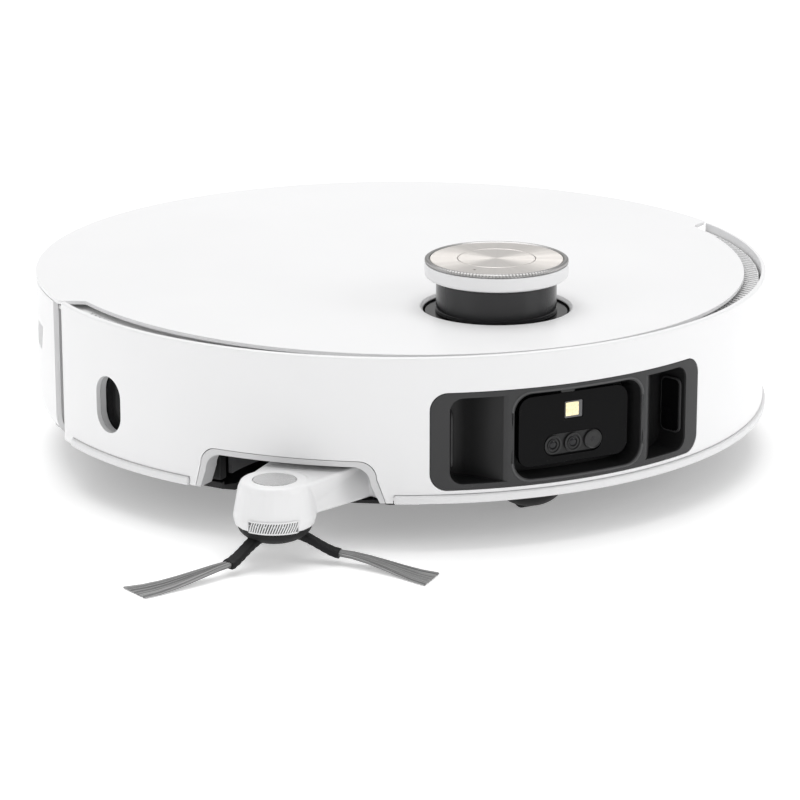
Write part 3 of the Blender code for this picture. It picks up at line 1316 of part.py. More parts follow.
def inside_parts():
    """Water tank, battery and suction fan."""
    high = DECK_BOTTOM - FIT
    low_corner = (-TANK_HALF, TANK_SPAN[0], high - TANK_HEIGHT)
    tank = box("water_tank", low_corner, (TANK_HALF, TANK_SPAN[1], high), clear_tank())
    soften(tank, 6 * MM, 3)
    half = BATTERY_SIZE[0] / 2
    low = BAY_FLOOR[1] + FIT
    far = (half, BATTERY_FRONT + BATTERY_SIZE[1], low + BATTERY_SIZE[2])
    battery = box("battery", (-half, BATTERY_FRONT, low), far, dark_frame())
    soften(battery, 3 * MM)
    low = PAN_RIM[1] + FIT
    high = low + FAN_HEIGHT
    eye = FAN_RADIUS * 0.4
    deep = high - FAN_EYE_DEPTH
    profile = ((0, low), (FAN_RADIUS, low), (FAN_RADIUS, high), (eye, high), (eye, deep), (0, deep))
    turned("suction_fan", profile, grey_plastic(), centre=FAN_PLACE, facets=SMALL_FACETS)


def cliff_sensors():
    names = ("cliff_sensor_right", "cliff_sensor_left")
    for name, bearing in zip(names, CLIFF_BEARINGS):
        half = (CLIFF_SIZE[0] / 2, CLIFF_SIZE[1] / 2)
        high = PAN_BOTTOM - FIT
        plate = box(name, (-half[0], -half[1], high - CLIFF_SIZE[2]), (*half, high), black_gloss())
        x, y = polar(BODY_RADIUS - CLIFF_SET_IN, bearing)
        turn = Matrix.Rotation(math.radians(bearing), 4, "Z")
        plate.data.transform(Matrix.Translation((x, y, 0)) @ turn)


def put_on_axes():
    """Put the origin of each moving piece on its joint's axis."""
    turret_names = ("plate", "column", "cap", "ring", "disc", "button")
    groups = [
        ([f"turret_{name}" for name in turret_names] + ["laser_rotor"], (0, -TURRET_AHEAD, LID_TOP)),
        (["brush_arm", "arm_disc"], (*PIVOT_PLACE, ARM_BOTTOM)),
        (["brush_rotor", "bristles_right", "bristles_front", "bristles_back"], (*HUB_PLACE, 0)),
        (["caster_swivel"], (0, -CASTER_AHEAD, 0)),
    ]
    for name, side in (("right", -1), ("left", 1)):
        mop = (side * MOP_PLACE[0], MOP_PLACE[1], 0)
        groups.append(([f"mop_plate_{name}", f"mop_pad_{name}"], mop))
        groups.append(([f"swing_arm_{name}"], (side * SWING_OUTER_FACE, *SWING_PLACE)))
    for names, point in groups:
        for name in names:
            set_origin(bpy.data.objects[name], point)


def centre_whole():
    """Move everything so that the origin is on the floor under the middle of the whole."""
    bpy.context.view_layer.update()
    corners = []
    for thing in bpy.data.objects:
        if not thing.hide_render:
            corners += [thing.matrix_world @ Vector(corner) for corner in thing.bound_box]
    for axis in (0, 1):
        values = [corner[axis] for corner in corners]
        middle = (min(values) + max(values)) / 2
        for thing in bpy.data.objects:
            thing.location[axis] -= middle


def main():
    clear_scene()
    lid()
    bumper()
    lips()
    arch_trim()
    window_frame()
    camera_housing()
    camera_glass()
    status_light()
    lenses()
    side_sensors()
    rear_shell()
    rear_fittings()
    deck()
    turret_well()
    turret()
    laser_rotor()
    brush_arm()
    arm_disc()
    side_brush()
    arm_guard()
    floor_pan()
    mop_bay()
    mops()
    caster()
    drive_wheels()
    roller()
    roller_hood()
    roller_guard()
    dust_bin()
    inside_parts()
    cliff_sensors()
    put_on_axes()
    centre_whole()


main()
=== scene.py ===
"""Looks of a round robotic floor cleaner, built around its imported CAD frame.

Units are metres. Shapes are made about the body's own axis, with the floor at z = 0 and the
front towards -Y, and are then placed on that axis. Bearings are degrees from the front,
positive towards +X.
"""

import json
import logging
import math
import random
from dataclasses import dataclass
from enum import Enum
from typing import Callable, Iterable, Sequence

import bmesh
import bpy
from mathutils import Matrix, Vector


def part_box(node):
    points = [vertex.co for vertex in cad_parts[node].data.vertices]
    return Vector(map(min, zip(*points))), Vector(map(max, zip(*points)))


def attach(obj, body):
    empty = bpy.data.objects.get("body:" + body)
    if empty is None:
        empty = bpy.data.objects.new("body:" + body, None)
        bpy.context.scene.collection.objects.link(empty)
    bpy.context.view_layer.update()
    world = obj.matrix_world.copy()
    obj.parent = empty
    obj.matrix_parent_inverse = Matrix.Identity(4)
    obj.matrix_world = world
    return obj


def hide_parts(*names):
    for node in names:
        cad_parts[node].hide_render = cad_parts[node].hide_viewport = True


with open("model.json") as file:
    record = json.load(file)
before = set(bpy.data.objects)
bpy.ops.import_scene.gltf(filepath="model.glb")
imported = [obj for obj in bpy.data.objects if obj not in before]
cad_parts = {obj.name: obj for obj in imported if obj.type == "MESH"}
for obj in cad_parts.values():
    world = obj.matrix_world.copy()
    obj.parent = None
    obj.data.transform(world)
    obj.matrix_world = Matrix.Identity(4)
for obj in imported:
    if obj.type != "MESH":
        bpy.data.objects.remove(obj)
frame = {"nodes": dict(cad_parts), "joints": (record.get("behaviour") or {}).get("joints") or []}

MM = 0.001
LOG = logging.getLogger("floor_cleaner")
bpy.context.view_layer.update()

Flat = tuple[float, float]
Point = tuple[float, float, float]
Colour = tuple[float, float, float]
Column = tuple[float, float, float]

LID_LOW, LID_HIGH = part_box("lid")
BODY_RADIUS = 175 * MM
AXIS = Vector(((LID_LOW.x + LID_HIGH.x) / 2, LID_HIGH.y - BODY_RADIUS, 0))
LID_TOP = LID_HIGH.z
GAP = 0.3 * MM
OVER = 4 * MM


# ---------------------------------------------------------------- shaping


def middle(node: str) -> Vector:
    """Give the centre of a CAD node's box."""
    low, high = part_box(node)
    return (low + high) / 2


def on_floor(point: Vector) -> Vector:
    """Give the point on the floor under a point."""
    return Vector((point.x, point.y, 0))


def polar(radius: float, bearing: float) -> Flat:
    """Give the (x, y) at a radius and a bearing from the front."""
    angle = math.radians(bearing)
    return radius * math.sin(angle), -radius * math.cos(angle)


def spread(start: float, end: float, count: int) -> list[float]:
    """Give count + 1 even values from start to end."""
    return [start + (end - start) * step / count for step in range(count + 1)]


def ease(share: float) -> float:
    """Give a smooth step of a share that is first held between 0 and 1."""
    share = max(0.0, min(1.0, share))
    return share * share * (3 - 2 * share)


def rounded_rectangle(half_width: float, half_height: float, corner: float, steps: int = 8) -> list[Flat]:
    """Give the outline of a rounded rectangle about the origin.

    Args:
        half_width: Half its width along the first axis.
        half_height: Half its height along the second axis.
        corner: Radius of its corners.
        steps: Facets of each corner.

    Returns:
        Its points in order.
    """
    points = []
    for turn, (sx, sy) in enumerate(((1, 1), (-1, 1), (-1, -1), (1, -1))):
        for angle in spread(90 * turn, 90 * turn + 90, steps):
            x = sx * (half_width - corner) + corner * math.cos(math.radians(angle))
            y = sy * (half_height - corner) + corner * math.sin(math.radians(angle))
            points.append((x, y))
    return points


def circle(radius: float, facets: int = 48) -> list[Flat]:
    """Give the outline of a circle about the origin."""
    angles = [math.tau * step / facets for step in range(facets)]
    return [(radius * math.cos(angle), radius * math.sin(angle)) for angle in angles]


def lathe(
    profile: Sequence[Flat], start: float = 0, end: float = 360, step: float = 3,
) -> bmesh.types.BMesh:
    """Turn a closed profile about the Z axis.

    Args:
        profile: Points of (radius, height) in order.
        start: First bearing.
        end: Last bearing; a full turn closes on itself.
        step: Degrees to a facet.

    Returns:
        The mesh, with its ends capped.
    """
    mesh = bmesh.new()
    whole = end - start >= 360
    count = max(3, round((end - start) / step))
    columns = count if whole else count + 1
    rings = []
    for radius, height in profile:
        if radius == 0:
            rings.append([mesh.verts.new((0, 0, height))] * columns)
            continue
        places = [polar(radius, start + (end - start) * index / count) for index in range(columns)]
        rings.append([mesh.verts.new((x, y, height)) for x, y in places])
    for index, first in enumerate(rings):
        second = rings[(index + 1) % len(rings)]
        for near in range(count):
            far = (near + 1) % columns
            corners = dict.fromkeys((first[near], first[far], second[far], second[near]))
            if len(corners) > 2:
                mesh.faces.new(list(corners))
    if not whole:
        mesh.faces.new([ring[0] for ring in rings])
        mesh.faces.new([ring[-1] for ring in rings])
    return mesh


def slab(outline: Sequence[Flat], low: float, high: float) -> bmesh.types.BMesh:
    """Extrude a closed (x, y) outline between two heights.

    Args:
        outline: The (x, y) points in order.
        low: Lower height.
        high: Upper height.

    Returns:
        The mesh.
    """
    mesh = bmesh.new()
    base = [mesh.verts.new((x, y, low)) for x, y in outline]
    top = [mesh.verts.new((x, y, high)) for x, y in outline]
    mesh.faces.new(base)
    mesh.faces.new(top)
    for index in range(len(outline)):
        after = (index + 1) % len(outline)
        mesh.faces.new((base[index], base[after], top[after], top[index]))
    return mesh


def brick(low: Sequence[float], high: Sequence[float]) -> bmesh.types.BMesh:
    """Make a box between two corners."""
    outline = [(low[0], low[1]), (high[0], low[1]), (high[0], high[1]), (low[0], high[1])]
    return slab(outline, low[2], high[2])


def loft(rows: Sequence[Sequence[Point]], closed: bool = False) -> bmesh.types.BMesh:
    """Skin rings of points that have the same count.

    Args:
        rows: The rings, each a closed loop of points.
        closed: Whether the last ring joins the first one.

    Returns:
        The mesh, with its two ends capped unless it is closed.
    """
    mesh = bmesh.new()
    rings = [[mesh.verts.new(point) for point in row] for row in rows]
    pairs = list(zip(rings, rings[1:]))
    if closed:
        pairs.append((rings[-1], rings[0]))
    for first, second in pairs:
        for index in range(len(first)):
            after = (index + 1) % len(first)
            mesh.faces.new((first[index], first[after], second[after], second[index]))
    if not closed:
        mesh.faces.new(rings[0])
        mesh.faces.new(rings[-1])
    return mesh


def wall(columns: Sequence[Column], inner: float, outer: float) -> bmesh.types.BMesh:
    """Make a slab that follows the round wall; columns are (bearing, low, high).

    Args:
        columns: The slab's columns from side to side.
        inner: Inner radius.
        outer: Outer radius.

    Returns:
        The mesh.
    """
    rows = []
    for bearing, low, high in columns:
        near = polar(inner, bearing)
        far = polar(outer, bearing)
        rows.append([(*near, low), (*far, low), (*far, high), (*near, high)])
    return loft(rows)


def turn_of(length: float) -> float:
    """Give the degrees that a length takes up on the body's wall."""
    return math.degrees(length / BODY_RADIUS)


def wall_rectangle(start: float, end: float, low: float, high: float, corner: float) -> list[Column]:
    """Give the columns of a rounded rectangle on the wall.

    Args:
        start: Bearing of its first side.
        end: Bearing of its last side.
        low: Height of its lower edge.
        high: Height of its upper edge.
        corner: Radius of its corners.

    Returns:
        Its columns from side to side.
    """
    lap = turn_of(corner)
    columns = []
    for angle in spread(0, 90, 9):
        drop = corner * (1 - math.sin(math.radians(angle)))
        columns.append((start + lap * (1 - math.cos(math.radians(angle))), low + drop, high - drop))
    count = max(2, round(end - start - 2 * lap))
    columns += [(bearing, low, high) for bearing in spread(start + lap, end - lap, count)[1:-1]]
    for angle in spread(0, 90, 9):
        drop = corner * (1 - math.cos(math.radians(angle)))
        columns.append((end - lap * (1 - math.sin(math.radians(angle))), low + drop, high - drop))
    return columns


def wall_pill(bearing: float, half_width: float, low: float, high: float) -> list[Column]:
    """Give the columns of an upright pill on the wall.

    Args:
        bearing: Bearing of its middle.
        half_width: Half its width.
        low: Height of its foot.
        high: Height of its top.

    Returns:
        Its columns from side to side.
    """
    columns = []
    for angle in spread(0, 180, 20):
        across = -math.cos(math.radians(angle))
        rise = half_width * (1 - math.sqrt(max(0.0, 1 - across * across)))
        columns.append((bearing + turn_of(across * half_width), low + rise, high - rise))
    return columns


def tube(
    points: Sequence[Vector], radius: float, sides: int = 8, closed: bool = False,
) -> bmesh.types.BMesh:
    """Make a round bead along points.

    Args:
        points: Points along its middle.
        radius: Radius of the bead.
        sides: Facets round it.
        closed: Whether its end joins its start.

    Returns:
        The mesh.
    """
    rows = []
    count = len(points)
    for index, point in enumerate(points):
        before = points[(index - 1) % count if closed else max(index - 1, 0)]
        after = points[(index + 1) % count if closed else min(index + 1, count - 1)]
        along = (after - before).normalized()
        side = along.cross(Vector((0, 0, 1)))
        if side.length < 1e-3:
            side = along.cross(Vector((1, 0, 0)))
        side.normalize()
        up = side.cross(along)
        row = []
        for step in range(sides):
            angle = math.tau * step / sides
            row.append(tuple(point + radius * (side * math.cos(angle) + up * math.sin(angle))))
        rows.append(row)
    return loft(rows, closed)


def gather(meshes: Iterable[bmesh.types.BMesh]) -> bmesh.types.BMesh:
    """Put several meshes, each moved as it should be, into one.

    Args:
        meshes: The meshes, which are used up.

    Returns:
        The one mesh.
    """
    whole = bmesh.new()
    for mesh in meshes:
        data = bpy.data.meshes.new("part")
        mesh.to_mesh(data)
        mesh.free()
        whole.from_mesh(data)
        bpy.data.meshes.remove(data)
    return whole


def moved(mesh: bmesh.types.BMesh, matrix: Matrix) -> bmesh.types.BMesh:
    """Transform a mesh and give it back."""
    mesh.transform(matrix)
    return mesh


def standing(front: float, height: float, x: float = 0) -> Matrix:
    """Give the matrix that stands a flat shape up, facing the front at a distance and height."""
    return Matrix.Translation((x, -front, height)) @ Matrix.Rotation(math.radians(90), 4, "X")


# ---------------------------------------------------------------- finishes


class Shader:
    """The nodes of one material, added one at a time."""

    def __init__(self, name: str) -> None:
        """Start a material with its Principled surface and the object's own space.

        Args:
            name: Name of the material.
        """
        self.material = bpy.data.materials.new(name)
        self.material.use_nodes = True
        self.tree = self.material.node_tree
        self.surface = self.tree.nodes["Principled BSDF"]
        self.space = self.tree.nodes.new("ShaderNodeTexCoord").outputs["Object"]

    def add(self, kind: str, inputs: dict[str, object], **settings: object) -> bpy.types.Node:
        """Add a node.

        Args:
            kind: Its type, without the leading ShaderNode.
            inputs: Its inputs by name, each a value or another node's output.
            settings: Its own properties.

        Returns:
            The new node.
        """
        node = self.tree.nodes.new("ShaderNode" + kind)
        for key, value in settings.items():
            setattr(node, key, value)
        for key, value in inputs.items():
            self.feed(node.inputs[key], value)
        return node

    def feed(self, socket: bpy.types.NodeSocket, value: object) -> None:
        """Link an output to a socket, or set the socket's own value."""
        if isinstance(value, bpy.types.NodeSocket):
            self.tree.links.new(value, socket)
        elif isinstance(value, tuple) and socket.type == "RGBA":
            socket.default_value = (*value, 1.0)
        else:
            socket.default_value = value

    def set(self, **inputs: object) -> None:
        """Set or link the surface's inputs, named with _ for each space."""
        for key, value in inputs.items():
            self.feed(self.surface.inputs[key.replace("_", " ")], value)

    def noise(self, scale: float, detail: float = 2.0, space: object = None) -> bpy.types.NodeSocket:
        """Give a noise value in the object's space."""
        inputs = {"Vector": space or self.space, "Scale": scale, "Detail": detail}
        return self.add("TexNoise", inputs).outputs[0]

    def between(self, value: object, low: float, high: float) -> bpy.types.NodeSocket:
        """Map a 0 to 1 value onto a range."""
        return self.add("MapRange", {"Value": value, "To Min": low, "To Max": high}).outputs[0]

    def tones(self, value: object, first: Colour, last: Colour) -> bpy.types.NodeSocket:
        """Blend two colours by a value.

        Args:
            value: What the blend follows.
            first: Colour at its low end.
            last: Colour at its high end.

        Returns:
            The blended colour.
        """
        ramp = self.add("ValToRGB", {"Fac": value})
        ramp.color_ramp.elements[0].color = (*first, 1.0)
        ramp.color_ramp.elements[0].position = 0.3
        ramp.color_ramp.elements[1].color = (*last, 1.0)
        ramp.color_ramp.elements[1].position = 0.7
        return ramp.outputs[0]

    def bump(self, height: object, strength: float, distance: float = 0.05 * MM) -> None:
        """Feed the surface's normal with a bump."""
        inputs = {"Height": height, "Strength": strength, "Distance": distance}
        self.set(Normal=self.add("Bump", inputs).outputs[0])


def tinted(colour: Colour, share: float) -> Colour:
    """Scale a colour's brightness."""
    return tuple(min(1.0, channel * share) for channel in colour)


@dataclass(frozen=True)
class Moulded:
    """Injection-moulded plastic with a fine even spark texture."""

    name: str
    slot: str
    colour: Colour
    roughness: float = 0.4
    grain: float = 0.12
    grain_size: float = 1800.0
    gloss: float = 0.5

    def paint(self, shader: Shader) -> None:
        """Build the plastic's nodes.

        Args:
            shader: The material to build them in.
        """
        cloud = shader.noise(9.0, 3.0)
        shader.set(Base_Color=shader.tones(cloud, tinted(self.colour, 0.975), self.colour))
        patch = shader.noise(60.0, 4.0)
        shader.set(Roughness=shader.between(patch, self.roughness - 0.04, self.roughness + 0.05))
        shader.set(Specular_IOR_Level=self.gloss)
        shader.bump(shader.noise(self.grain_size), self.grain)


@dataclass(frozen=True)
class Polished:
    """Hard gloss plastic or glass over a dark ground, with the faintest smears."""

    name: str
    slot: str
    colour: Colour
    roughness: float = 0.05
    gloss: float = 0.5

    def paint(self, shader: Shader) -> None:
        """Build the gloss finish's nodes.

        Args:
            shader: The material to build them in.
        """
        cloud = shader.noise(30.0, 2.0)
        shader.set(Base_Color=shader.tones(cloud, self.colour, tinted(self.colour, 1.35)))
        smear = shader.noise(140.0, 5.0)
        shader.set(Roughness=shader.between(smear, self.roughness, self.roughness + 0.05))
        shader.set(Specular_IOR_Level=self.gloss)
        shader.bump(shader.noise(12.0), 0.02)


@dataclass(frozen=True)
class Spun:
    """Metal finished on a lathe: fine rings round its own centre."""

    name: str
    slot: str
    colour: Colour
    roughness: float = 0.32
    grooves: float = 5200.0
    turned_grain: float = 0.8
    contrast: float = 0.03

    def paint(self, shader: Shader) -> None:
        """Build the spun metal's nodes.

        Args:
            shader: The material to build them in.
        """
        rings = {"Vector": shader.space, "Scale": self.grooves, "Distortion": 0.4, "Detail": 2.0}
        ring = shader.add("TexWave", rings, wave_type="RINGS", rings_direction="Z").outputs[1]
        fan = shader.add("TexGradient", {"Vector": shader.space}, gradient_type="RADIAL").outputs[1]
        streak = shader.add("TexNoise", {"W": fan, "Scale": 34.0, "Detail": 4.0}, noise_dimensions="1D")
        low, high = tinted(self.colour, 1 - self.contrast), tinted(self.colour, 1 + self.contrast)
        tone = shader.tones(streak.outputs[0], low, high)
        shader.set(Base_Color=tone, Metallic=1.0, Anisotropic=self.turned_grain)
        shader.set(
            Roughness=shader.between(streak.outputs[0], self.roughness - 0.03, self.roughness + 0.03)
        )
        shader.set(Tangent=shader.add("Tangent", {}, direction_type="RADIAL", axis="Z").outputs[0])
        shader.bump(ring, 0.08, 0.02 * MM)


@dataclass(frozen=True)
class Plated:
    """Plain satin metal plating."""

    name: str
    slot: str
    colour: Colour
    roughness: float = 0.25

    def paint(self, shader: Shader) -> None:
        """Build the plating's nodes.

        Args:
            shader: The material to build them in.
        """
        cloud = shader.noise(160.0, 4.0)
        shader.set(Base_Color=shader.tones(cloud, tinted(self.colour, 0.93), self.colour), Metallic=1.0)
        shader.set(Roughness=shader.between(cloud, self.roughness - 0.04, self.roughness + 0.08))
        shader.bump(shader.noise(900.0), 0.05)


@dataclass(frozen=True)
class Rubber:
    """Soft rubber with a dry, slightly dusty surface."""

    name: str
    slot: str
    colour: Colour
    roughness: float = 0.68

    def paint(self, shader: Shader) -> None:
        """Build the rubber's nodes.

        Args:
            shader: The material to build them in.
        """
        dust = shader.noise(45.0, 5.0)
        shader.set(Base_Color=shader.tones(dust, self.colour, tinted(self.colour, 1.5)))
        shader.set(Roughness=shader.between(dust, self.roughness - 0.08, self.roughness + 0.1))
        shader.set(Sheen_Weight=0.03, Sheen_Roughness=0.5, Specular_IOR_Level=0.3)
        shader.bump(shader.noise(700.0, 3.0), 0.25)


@dataclass(frozen=True)
class Filament:
    """Nylon bristle, each strand a little lighter or darker at random."""

    name: str
    slot: str
    colour: Colour

    def paint(self, shader: Shader) -> None:
        """Build the bristle's nodes.

        Args:
            shader: The material to build them in.
        """
        strand = shader.add("NewGeometry", {}).outputs["Random Per Island"]
        shader.set(Base_Color=shader.tones(strand, tinted(self.colour, 0.55), tinted(self.colour, 1.4)))
        shader.set(Roughness=shader.between(strand, 0.35, 0.6), Sheen_Weight=0.2)
        shader.bump(shader.noise(1500.0), 0.15)


@dataclass(frozen=True)
class Terry:
    """Looped microfibre cloth in two blended yarns."""

    name: str
    slot: str
    colour: Colour
    loop: float = 750.0

    def paint(self, shader: Shader) -> None:
        """Build the cloth's nodes.

        Args:
            shader: The material to build them in.
        """
        cells = {"Vector": shader.space, "Scale": self.loop, "Randomness": 0.8}
        loops = shader.add("TexVoronoi", cells).outputs[0]
        yarn = shader.noise(self.loop * 0.4, 3.0)
        shader.set(Base_Color=shader.tones(yarn, tinted(self.colour, 0.62), tinted(self.colour, 1.3)))
        shader.set(Roughness=shader.between(yarn, 0.85, 1.0))
        shader.set(Sheen_Weight=0.45, Sheen_Roughness=0.6)
        shader.bump(loops, 0.9, 0.5 * MM)


@dataclass(frozen=True)
class Lamp:
    """A lit chip behind a clear cap."""

    name: str
    slot: str
    colour: Colour
    strength: float = 0.7

    def paint(self, shader: Shader) -> None:
        """Build the lamp's nodes.

        Args:
            shader: The material to build them in.
        """
        cells = {"Vector": shader.space, "Scale": 900.0}
        speck = shader.add("TexVoronoi", cells).outputs[0]
        tone = shader.tones(speck, tinted(self.colour, 0.82), self.colour)
        shader.set(Base_Color=tone, Emission_Color=tone, Emission_Strength=self.strength)
        shader.set(Roughness=shader.between(speck, 0.25, 0.4), Coat_Weight=0.6)


@dataclass(frozen=True)
class Smoked:
    """Smoke-tinted clear plastic for bins and tanks."""

    name: str
    slot: str
    colour: Colour

    def paint(self, shader: Shader) -> None:
        """Build the clear plastic's nodes.

        Args:
            shader: The material to build them in.
        """
        cloud = shader.noise(25.0, 3.0)
        shader.set(Base_Color=shader.tones(cloud, tinted(self.colour, 0.9), self.colour))
        shader.set(Roughness=shader.between(cloud, 0.08, 0.18), Transmission_Weight=0.35, IOR=1.49)
        shader.bump(shader.noise(300.0), 0.04)


Finish = Moulded | Polished | Spun | Plated | Rubber | Filament | Terry | Lamp | Smoked


class Palette(Enum):
    """Every finish on the machine."""

    SHELL = Moulded("white_shell_satin", "white_shell", (0.85, 0.85, 0.855), 0.36, 0.05)
    TRIM = Moulded("light_grey_trim", "light_trim", (0.66, 0.66, 0.665), 0.42, 0.08)
    # Grey for the strips in the gap at each end of the bumper, where the white shell lies in shade: painted
    # shade.
    CHANNEL_SHADE = Moulded("channel_painted_shade", "light_trim", (0.6, 0.6, 0.605), 0.5, 0.1)
    # Lighter than the trim's grey so that the shaded deck reads bright: painted light.
    GRIP = Moulded("grip_floor_painted_light", "light_trim", (0.8, 0.8, 0.8), 0.5, 0.1)
    LIP = Moulded("soft_lip", "light_trim", (0.78, 0.78, 0.785), 0.48, 0.08)
    FRAME = Moulded("dark_window_frame", "dark_frame", (0.04, 0.04, 0.041), 0.5, 0.14, gloss=0.3)
    BAY = Moulded("dark_bay", "black_plastic", (0.012, 0.012, 0.0125), 0.45, 0.1, gloss=0.3)
    # Lighter than the frame's grey: a painted highlight along the ring's edge, on top of the real light that
    # the bead's shape catches.
    RING = Moulded("ring_bead_painted_highlight", "dark_frame", (0.07, 0.07, 0.072), 0.36, 0.05, gloss=0.4)
    BLACK = Moulded("black_chassis", "black_plastic", (0.011, 0.011, 0.0115), 0.5, 0.2, 1200.0, 0.35)
    COLUMN = Polished("turret_window", "black_plastic", (0.021, 0.021, 0.022), 0.16, 0.4)
    GREY = Moulded("grey_inner", "grey_plastic", (0.12, 0.12, 0.125), 0.5, 0.18, 1200.0)
    PALE_GREY = Moulded("pale_inner", "grey_plastic", (0.32, 0.32, 0.325), 0.48, 0.12)
    GLOSS = Polished("black_gloss_plate", "black_gloss", (0.003, 0.003, 0.0033))
    GLASS = Polished("camera_window", "black_gloss", (0.0025, 0.0025, 0.0028), 0.12, 0.08)
    LENS = Polished("lens_glass", "black_gloss", (0.006, 0.006, 0.008), 0.04, 0.35)
    LENS_BED = Moulded("lens_bed", "black_gloss", (0.017, 0.017, 0.0175), 0.35, 0.04, gloss=0.25)
    LENS_RING = Moulded("lens_ring", "black_gloss", (0.011, 0.011, 0.0115), 0.3, 0.04, gloss=0.4)
    DISC = Spun("champagne_disc", "champagne_metal", (0.93, 0.89, 0.85))
    HUB_DISC = Spun("bright_disc", "bright_metal", (0.8, 0.8, 0.8), 0.2, turned_grain=0.95, contrast=0.05)
    KNURL = Plated("knurled_rim", "bright_metal", (0.42, 0.415, 0.41), 0.3)
    CONTACT = Plated("contact_plate", "bright_metal", (0.75, 0.73, 0.7), 0.2)
    RUBBER = Rubber("black_soft_rubber", "black_rubber", (0.006, 0.006, 0.0064))
    BRISTLE = Filament("grey_nylon", "grey_bristle", (0.3, 0.3, 0.3))
    CLOTH = Terry("mop_terry", "mop_cloth", (0.3, 0.33, 0.38))
    BINDING = Terry("mop_binding", "mop_cloth", (0.12, 0.13, 0.15), 1500.0)
    LIGHT = Lamp("warm_chip", "warm_light", (0.93, 0.83, 0.5), 0.35)
    SMOKE = Smoked("smoked_clear", "clear_tank", (0.2, 0.205, 0.215))

    def material(self) -> bpy.types.Material:
        """Give the finish's material, made the first time it is asked for.

        Returns:
            The material.
        """
        found = bpy.data.materials.get(self.value.name)
        if found:
            return found
        shader = Shader(self.value.name)
        self.value.paint(shader)
        return shader.material


# ---------------------------------------------------------------- pieces


class Piece:
    """One mesh piece: made, cut and softened, then finished and hung on a CAD body."""

    def __init__(self, name: str, mesh: bmesh.types.BMesh, place: Vector = AXIS) -> None:
        """Link a mesh as an object at a place, its faces pointing out.

        Args:
            name: Name of the piece.
            mesh: Its mesh, which is used up.
            place: Where its own space begins.
        """
        bmesh.ops.recalc_face_normals(mesh, faces=mesh.faces)
        data = bpy.data.meshes.new(name)
        mesh.to_mesh(data)
        mesh.free()
        self.thing = bpy.data.objects.new(name, data)
        bpy.context.scene.collection.objects.link(self.thing)
        self.thing.location = place

    def modify(self, kind: str, **settings: object) -> "Piece":
        """Run one of Blender's modifiers on the mesh and keep its result.

        Args:
            kind: The modifier's type.
            settings: The modifier's own properties.

        Returns:
            The piece.
        """
        step = self.thing.modifiers.new(kind.lower(), kind)
        for key, value in settings.items():
            setattr(step, key, value)
        graph = bpy.context.evaluated_depsgraph_get()
        whole = self.thing.evaluated_get(graph)
        data = bpy.data.meshes.new_from_object(whole, preserve_all_data_layers=True, depsgraph=graph)
        self.thing.modifiers.clear()
        old = self.thing.data
        self.thing.data = data
        bpy.data.meshes.remove(old)
        return self

    def combine(self, operation: str, others: Sequence["Piece"]) -> "Piece":
        """Run a Boolean with each other piece, which is then removed."""
        for other in others:
            self.modify("BOOLEAN", operation=operation, solver="EXACT", object=other.thing)
            bpy.data.objects.remove(other.thing)
        return self

    def cut(self, *others: "Piece") -> "Piece":
        """Take other pieces away."""
        return self.combine("DIFFERENCE", others)

    def soften(self, width: float, segments: int = 2, angle: float = 35) -> "Piece":
        """Round the edges that are sharper than an angle."""
        self.modify(
            "BEVEL", width=width, segments=segments, limit_method="ANGLE",
            angle_limit=math.radians(angle), use_clamp_overlap=True,
        )
        return self

    def smooth(self, angle: float = 40) -> "Piece":
        """Shade the mesh smooth, with normals led by its large faces.

        Args:
            angle: The sharpest angle that is shaded smooth.

        Returns:
            The piece.
        """
        self.thing.data.shade_smooth()
        self.thing.data.set_sharp_from_angle(angle=math.radians(angle))
        return self.modify("WEIGHTED_NORMAL", keep_sharp=True, weight=50)

    def hang(self, body: str, look: Palette, *nodes: str) -> "Piece":
        """Finish the piece and hang it on a body.

        Args:
            body: The CAD body that it moves with.
            look: Its finish.
            nodes: The CAD nodes that it stands for.

        Returns:
            The piece.
        """
        self.thing.data.materials.clear()
        self.thing.data.materials.append(look.material())
        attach(self.thing, body)
        if nodes:
            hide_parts(*nodes)
        LOG.info("%s on %s, %d faces", self.thing.name, body, len(self.thing.data.polygons))
        return self


def refined(node: str, body: str, look: Palette, width: float = 0.3 * MM, angle: float = 30) -> Piece:
    """Make a fine copy of a CAD node, its edges rounded, and hang it in the node's place.

    Args:
        node: The CAD node.
        body: Its body.
        look: Its finish.
        width: Width of the rounding.
        angle: The sharpest angle that is left as it is.

    Returns:
        The new piece.
    """
    mesh = bmesh.new()
    mesh.from_mesh(frame["nodes"][node].data)
    bmesh.ops.remove_doubles(mesh, verts=mesh.verts, dist=0.001 * MM)
    edges = mesh.edges[:]
    bmesh.ops.dissolve_limit(mesh, angle_limit=math.radians(0.5), verts=mesh.verts, edges=edges)
    centre = middle(node)
    mesh.transform(Matrix.Translation(-centre))
    piece = Piece(node + "_fine", mesh, centre)
    if width:
        piece.soften(width, 2, angle)
    return piece.smooth(angle).hang(body, look, node)


